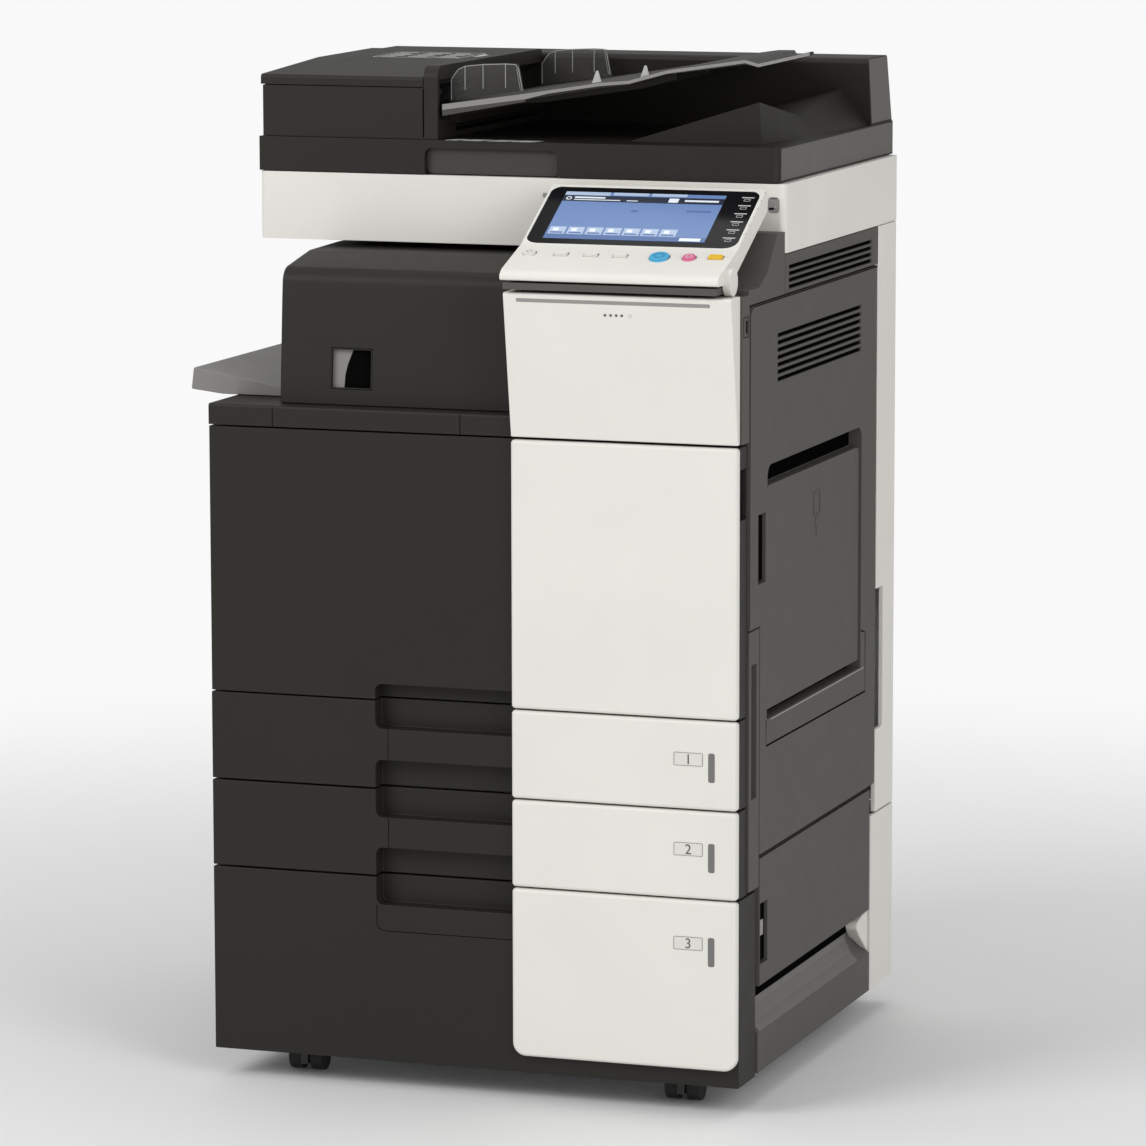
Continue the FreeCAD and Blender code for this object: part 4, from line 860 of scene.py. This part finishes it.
def engine_front():
    """Inner covers round the toner bottle and drum, with levers, screws and a waste box."""
    plate = Face((body_left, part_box("photoconductor_drum")[0].y + JOURNAL_PROUD * MM, 0), X, Z)
    corners = 24
    for name, area, node, radius in (("bottle", (32, 450, 298, 720), "toner_bottle", 44),
                                     ("drum", (304, 450, 583, 720), "photoconductor_drum", 24)):
        low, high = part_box(node)
        u = ((low.x + high.x) / 2 - body_left) / MM
        v = (low.z + high.z) / 2 / MM
        hole = circle(u, v, radius, corners, -50)
        Piece(name + "_inner_cover").ring(plate, rounded(*area, 10), hole, 0.3, COVER_THICK).done(
            TONER, "copier_body", "toner_plastic", 1)
        Piece(name + "_bearing_cap").ring(plate, circle(u, v, radius - 3), circle(u, v, 6), 0.3, 3.5).done(
            DRAWER_GREY, "copier_body", "toner_plastic", 0.6)
        turn = Piece(name + "_lever")
        pivot = v + radius + 26
        turn.rod(plate, u, pivot, 9, COVER_THICK, 10)
        arm = [(u - 4, pivot), (u + 4, pivot), (u + 34, pivot + 20), (u + 30, pivot + 28)]
        turn.outline(plate, arm, 9, 15)
        turn.done(LEVER_GREEN, "copier_body", "toner_plastic", 1.2)
        arrow = [(u - 26, pivot - 6), (u - 14, pivot + 1), (u - 26, pivot + 8)]
        Piece(name + "_arrow").outline(plate, arrow, 5.8, 6.3).done(
            MARK_LIGHT, "copier_body", "toner_plastic")
        raised = Face(plate.at(0, 0, COVER_THICK), X, Z)
        rows = area[1] + SCREW_INSET, area[3] - SCREW_INSET
        columns = area[0] + SCREW_INSET, area[2] - SCREW_INSET
        screws(name + "_cover", [(raised, column, row) for row in rows for column in columns])
    Piece("waste_box").block(plate, (318, 462, 416, 548), COVER_THICK, 17, 6).done(
        DRAWER_GREY, "copier_body", "tray_plastic", 2)
    Piece("waste_box_grip").block(plate, (340, 530, 394, 540), 17, 19, 4).done(
        LEVER_GREEN, "copier_body", "tray_plastic", 0.8)


LEVER_GREEN = plastic("lever_green", (0.03, 0.26, 0.16), 0.35, grain=0.1, wear=1.2)
engine_front()


# ================================================================ right side
RECESS_DEEP = 15.6
VENT_DEEP = 2.8


def flank_of(node):
    """The right side of a node: u counts back from the front plane, v up from the floor."""
    return Face((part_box(node)[1].x, front_plane, 0), Y, Z)


def dark_floor(name, node, area, deep, body):
    """Painted shade: a black sheet on the floor of a recess or of a row of slots, where shade falls."""
    Piece(name).block(flank_of(node), area, -deep - 0.3, -deep + 0.3).done(GAP_AND_SHADE_BLACK, body, "side_plastic")


def bypass_details():
    """Joint round the bypass unit, painted shade behind the openings round its tray, a painted highlight
    along the edge below and a plain sheet symbol.
    """
    face = flank_of("right_door")
    # Painted shade: black sheets at the back of the recess, seen above, beside and below the tray.
    dark_floor("bypass_gap_shade", "right_door", (93, 680, 453, 701.5), RECESS_DEEP, "right_door")
    dark_floor("bypass_left_gap_shade", "right_door", (92.5, 424, 96.5, 690), RECESS_DEEP, "right_door")
    dark_floor("bypass_foot_gap_shade", "right_door", (93, 423.5, 453, 430), RECESS_DEEP, "right_door")
    joint = Piece("bypass_joint")
    joint.stroke(face, [(89.6, 423), (89.6, 394.4), (473, 392.7), (472, 461.7), (455, 466)], 2, -0.3, 0.15)
    joint.done(GAP_AND_SHADE_BLACK, "right_door", "side_plastic")
    # Painted highlight: a lighter strip along the edge below the bypass unit.
    Piece("bypass_edge_highlight").block(face, (106, 420.6, 466, 422.2), -0.2, 0.5).done(
        MARK_AND_HIGHLIGHT_GREY, "right_door", "side_plastic", 0.3)
    tray = flank_of("bypass_tray")
    symbol = Piece("bypass_symbol")
    symbol.frame(tray, (272, 622, 296, 650), 1.6, -0.1, 0.7, 2)
    symbol.outline(tray, [(276, 612), (284, 626), (292, 612), (287, 612), (287, 600), (281, 600), (281, 612)],
                   -0.1, 0.7)
    symbol.done(SIDE_LIT_BLACK, "bypass_tray", "side_plastic", 0.2)


def door_joints():
    """Dark joints round the two right doors."""
    high = flank_of("right_door")
    path = [(28.8, 532), (28.8, 865)] + arc(42.8, 865, 14, 180, 90) + [(515, 879.2)]
    Piece("right_door_joint").stroke(high, path, 1.3, -0.3, 0.1).done(GAP_AND_SHADE_BLACK, "right_door", "side_plastic")
    low = flank_of("cabinet_door")
    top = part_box("cabinet_door")[1].z / MM - 0.7
    Piece("cabinet_door_joint").stroke(low, [(66.8, 133), (66.8, top), (497, top)], 1.3, -0.3, 0.1).done(
        GAP_AND_SHADE_BLACK, "cabinet_door", "side_plastic")


def low_right_details():
    """Latch tab, painted shade on the floor of the latch's recess, a painted highlight on the ledge's slope,
    a painted shadow in the gap above it and the ledge's pale end.
    """
    Piece("latch_tab").block(flank_of("cabinet_latch"), (72, 186, 87, 203), 0, 1.2, 1).done(
        MARK_AND_HIGHLIGHT_GREY, "cabinet_latch", "black_plastic", 0.3)
    # Painted shade on the floor of the latch's recess.
    dark_floor("latch_floor_shade", "cabinet_door", (70.5, 155.5, 96.5, 222.5), RECESS_DEEP, "cabinet_door")
    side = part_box("ledge_cover")[1].x
    face = Face((side - 9 * MM, front_plane, 0), Y, Z)
    end = [(497, 82), (497, 131), (475, 128.5)] + arc(461, 118, 7, 90, 200) + [(462, 108)]
    Piece("ledge_end").outline(face, end, -14, 7).done(WHITE, "copier_body", "white_plastic", 2)
    profile = Face((side, front_plane, 0), X, Z)
    slope = [(0, 80.8), (-9, 90), (-15, 104), (-15.8, 112)]
    # Painted highlight: a lighter strip along the ledge's slope.
    Piece("ledge_slope_highlight").stroke(profile, slope, 0.9, -448, -68).done(
        SLOPE_HIGHLIGHT, "copier_body", "side_plastic")
    # Painted shadow: a black strip in the gap under the cabinet door.
    Piece("ledge_painted_shadow").stroke(profile, [(-15.8, 112), (-17, 123.5)], 1.2, -455, -68).done(
        GAP_AND_SHADE_BLACK, "copier_body", "side_plastic")


def card_port():
    """Small outlined port on the leaning panel's side."""
    face = flank_of("right_door")
    Piece("card_port_outline").frame(face, (4, 849, 22, 871), 0.7, -0.2, 0.25, 1.5).done(
        GAP_AND_SHADE_BLACK, "copier_body", "side_plastic")
    Piece("card_port_slot").block(face, (13, 853, 17.5, 867), -0.2, 0.3, 0.8).done(
        GAP_AND_SHADE_BLACK, "copier_body", "side_plastic")


def paper_path():
    """Ribbed guide plate and feed rollers behind the upper right door, thin enough to close over."""
    beside = Vector((FAR, front_plane + 273 * MM, 500 * MM))
    side = surface_tree("main_frame").ray_cast(beside, -X)[0]
    face = Face((side.x, front_plane, 0), Y, Z)
    Piece("path_plate").block(face, (92, 292, 458, 724), -0.2, 2, 8).done(
        BLACK, "copier_body", "black_plastic", 0.2)
    ribs, rollers = Piece("path_ribs"), Piece("path_rollers")
    pitch = 24
    for i in range(15):
        u = 110 + pitch * i
        ribs.block(face, (u, 300, u + 2.4, 716), 1.8, 5)
    for v in (352, 476, 640):
        for i in range(5):
            u = 131 + 3 * pitch * i
            rollers.block(face, (u - 9, v, u + 9, v + 12), 1.8, 5.5, 4)
    ribs.done(SIDE_LIT_BLACK, "copier_body", "side_plastic", 0.3)
    rollers.done(SILICONE, "copier_body", "roller_rubber", 0.3)


def feeder_ends():
    """End plates of the feeder's slab and rear wall, painted paler to stand in for the light falling on the
    machine's right side.
    """
    face = flank_of("feeder_base")
    Piece("slab_end").block(face, (164, 1004, 599, DECK - 1.5), -0.4, 0.4).done(
        END_PAINTED_LIGHT, "feeder", "black_plastic", 0.3)
    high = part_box("feeder_base")[1].z / MM
    wall = Face(face.at(0, 0, -2), Y, Z)
    shape = [(521, DECK + 2), (602, DECK + 2), (581.5, high - 1.5), (508, high - 1.5)]
    Piece("wall_end").outline(wall, shape, -0.4, 0.5).done(END_PAINTED_LIGHT, "feeder", "black_plastic", 0.4)


# Painted light: a lighter grey for the right-hand end faces, as if lit.
END_PAINTED_LIGHT = plastic("end_painted_lighter", (0.115, 0.108, 0.099), 0.5, shine=0.25)
# Painted highlight colour for the ledge's slope.
SLOPE_HIGHLIGHT = plastic("slope_painted_highlight", (0.125, 0.118, 0.107), 0.4, shine=0.35)
paper_path()
feeder_ends()
# Painted shade: the lever and the latch sit deep in their recesses and take the flat unlit black used for
# shade.
for node in ("door_lever", "cabinet_latch"):
    frame["nodes"][node].data.materials[0] = GAP_AND_SHADE_BLACK
# Painted shade: black sheets on the floors of the vent slots and of the lever's recess.
dark_floor("upper_vent_floor_shade", "vent_cover", (169, 886, 492, 915), VENT_DEEP, "copier_body")
dark_floor("lower_vent_floor_shade", "right_door", (128, 789, 449, 845), VENT_DEEP, "right_door")
dark_floor("lever_floor_shade", "right_door", (59.5, 576.5, 85.5, 651.5), RECESS_DEEP, "right_door")
bypass_details()
door_joints()
low_right_details()
card_port()


# ================================================================ back and left side
def back_details():
    """Screws, exhaust slots, mains inlet and data ports on the rear covers."""
    upper_low, upper_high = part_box("rear_cover_upper")
    low_low, low_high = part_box("rear_cover_lower")
    upper = Face((upper_high.x, upper_high.y, upper_low.z), -X, Z)
    lower = Face((low_high.x, low_high.y, low_low.z), -X, Z)
    wide = (upper_high.x - upper_low.x) / MM
    tall = (upper_high.z - upper_low.z) / MM
    short = (low_high.z - low_low.z) / MM
    spots = []
    for u in (16, wide - 16):
        spots += [(upper, u, v) for v in (20, tall * 0.5, tall - 20)]
        spots += [(lower, u, v) for v in (20, short - 20)]
    screws("rear", spots)
    vents = Piece("rear_exhaust_slots")
    pitch = 10
    for left, base, count in ((60, tall - 190, 12), (wide - 220, tall - 190, 12), (90, 120, 9)):
        for i in range(count):
            foot = base + pitch * i
            vents.block(upper, (left, foot, left + 150, foot + pitch / 2), -0.3, 0.3, 2.4)
    vents.done(GAP_AND_SHADE_BLACK, "copier_body", "white_plastic")
    split = wide * 0.62
    Piece("rear_joint").block(upper, (split, 6, split + 1.4, tall - 6), -0.3, 0.2).done(
        GAP_AND_SHADE_BLACK, "copier_body", "white_plastic")
    inlet = Piece("mains_inlet")
    inlet.frame(lower, (50, 60, 104, 96), 3, -0.3, 2.5, 4)
    inlet.block(lower, (52, 62, 102, 94), -0.3, 0.4)
    inlet.done(BLACK, "copier_body", "black_plastic", 0.3)
    pins = Piece("mains_pins")
    for u, v in ((64, 74), (90, 74), (77, 84)):
        pins.block(lower, (u - 1.2, v - 3, u + 1.2, v + 3), 0, 2)
    pins.done(STEEL, "copier_body", "frame_steel", 0.2)
    ports, rims = Piece("data_ports"), Piece("data_port_rims")
    for u, v, w, h in ((40, 380, 16, 13), (64, 380, 16, 13), (42, 350, 13, 6), (66, 350, 13, 6)):
        rims.frame(upper, (u - 1.5, v - 1.5, u + w + 1.5, v + h + 1.5), 1.5, -0.3, 0.8, 1)
        ports.block(upper, (u, v, u + w, v + h), -0.3, 0.3)
    rims.done(STEEL, "copier_body", "frame_steel", 0.2)
    ports.done(GAP_AND_SHADE_BLACK, "copier_body", "frame_steel")


def left_details():
    """Screws, a service panel's joint and slots on the left cover."""
    low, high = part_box("left_cover")
    face = Face((low.x, high.y, low.z), -Y, Z)
    deep = (high.y - low.y) / MM
    tall = (high.z - low.z) / MM
    screws("left", [(face, u, v) for u in (24, deep - 50) for v in (24, tall - 24)])
    vents = Piece("left_slots")
    for i in range(10):
        foot = tall - 170 + 11 * i
        vents.block(face, (60, foot, 230, foot + 5), -0.3, 0.3, 2.4)
    vents.done(GAP_AND_SHADE_BLACK, "copier_body", "side_plastic")
    Piece("left_joint").block(face, (4, 206, deep - 40, 207.4), -0.3, 0.2).done(
        GAP_AND_SHADE_BLACK, "copier_body", "side_plastic")


back_details()
left_details()

# ================================================================ camera, light and floor
# where the camera looks and from where, then the room's and the backdrop's brightness and the floor's fade
AIM = Vector((0.0565, -0.073, 0.555))
AZIMUTH = math.radians(19.2)
ELEVATION = math.radians(8.57)
ROLL = math.radians(0.1)
DISTANCE = 6.4
LENS = 179.7
SENSOR = 36
ROOM_LIGHT = 0.5
BACKDROP = 0.95
FADE_START = 0.6
FADE_END = 2.6


def add_camera():
    data = bpy.data.cameras.new("camera")
    data.lens = LENS
    data.sensor_width = SENSOR
    data.clip_end = 100
    level = math.cos(ELEVATION)
    away = Vector((math.sin(AZIMUTH) * level, -math.cos(AZIMUTH) * level, math.sin(ELEVATION)))
    camera = placed("camera", data)
    turn = (-away).to_track_quat("-Z", "Y").to_matrix().to_4x4()
    camera.matrix_world = Matrix.Translation(AIM + away * DISTANCE) @ turn @ Matrix.Rotation(-ROLL, 4, "Z")
    bpy.context.scene.camera = camera


def add_light(name, place, target, size, power, colour=(1, 1, 1)):
    data = bpy.data.lights.new(name, "AREA")
    data.shape = "RECTANGLE"
    data.size, data.size_y = size
    data.energy = power
    data.color = colour
    light = placed(name, data)
    light.location = place
    light.rotation_euler = (Vector(target) - Vector(place)).to_track_quat("-Z", "Y").to_euler()


def fade_to_backdrop(n):
    """Far from the machine the camera sees the floor as evenly pale as the backdrop."""
    away = n.add("ShaderNodeVectorMath")
    away.operation = "LENGTH"
    n.tree.links.new(n.place, away.inputs[0])
    fade = n.add("ShaderNodeMapRange", Value=away.outputs["Value"])
    fade.interpolation_type = "SMOOTHSTEP"
    fade.inputs["From Min"].default_value = FADE_START
    fade.inputs["From Max"].default_value = FADE_END
    seen = n.add("ShaderNodeMath", Value=fade.outputs["Result"])
    seen.operation = "MULTIPLY"
    n.tree.links.new(n.add("ShaderNodeLightPath").outputs["Is Camera Ray"], seen.inputs[1])
    glow = n.add("ShaderNodeEmission", Color=(1, 1, 1), Strength=BACKDROP)
    blend = n.add("ShaderNodeMixShader", Fac=seen.outputs["Value"])
    n.tree.links.new(n.surface.outputs["BSDF"], blend.inputs[1])
    n.tree.links.new(glow.outputs["Emission"], blend.inputs[2])
    output = n.tree.nodes["Material Output"]
    n.tree.links.new(blend.outputs["Shader"], output.inputs["Surface"])


def add_floor():
    """Pale floor with a very faint mottling."""
    data = bpy.data.meshes.new("floor")
    half = 30
    corners = [(-half, -half, 0), (half, -half, 0), (half, half, 0), (-half, half, 0)]
    data.from_pydata(corners, [], [(0, 1, 2, 3)])
    floor = placed("floor", data)
    n = Nodes("floor")
    mottle = n.noise(3, 4)
    n.set(Base_Color=n.mix(mottle, (0.80, 0.80, 0.80), (0.83, 0.83, 0.83)))
    n.set(Roughness=0.6, Specular_IOR_Level=0.2)
    n.bump(n.noise(200, 2), 0.03, 0.2 * MM)
    fade_to_backdrop(n)
    data.materials.append(n.material)


def add_world():
    world = bpy.data.worlds.new("world")
    world.use_nodes = True
    tree = world.node_tree
    paths = tree.nodes.new("ShaderNodeLightPath")
    strength = tree.nodes.new("ShaderNodeMapRange")
    strength.inputs["To Min"].default_value = ROOM_LIGHT
    strength.inputs["To Max"].default_value = BACKDROP
    tree.links.new(paths.outputs["Is Camera Ray"], strength.inputs["Value"])
    background = tree.nodes["Background"]
    background.inputs["Color"].default_value = (1, 1, 1, 1)
    tree.links.new(strength.outputs["Result"], background.inputs["Strength"])
    bpy.context.scene.world = world


add_camera()
add_floor()
add_world()
add_light("key", (-2.6, -3.6, 3.2), (0, 0, 0.6), (2.4, 2.4), 112)
add_light("fill", (3.4, -2.6, 2.0), (0, 0, 0.6), (2.0, 2.6), 66)
add_light("top", (0.2, 0.4, 3.6), (0, 0, 0.8), (2.6, 2.6), 24)
bpy.context.scene.view_settings.view_transform = "Standard"
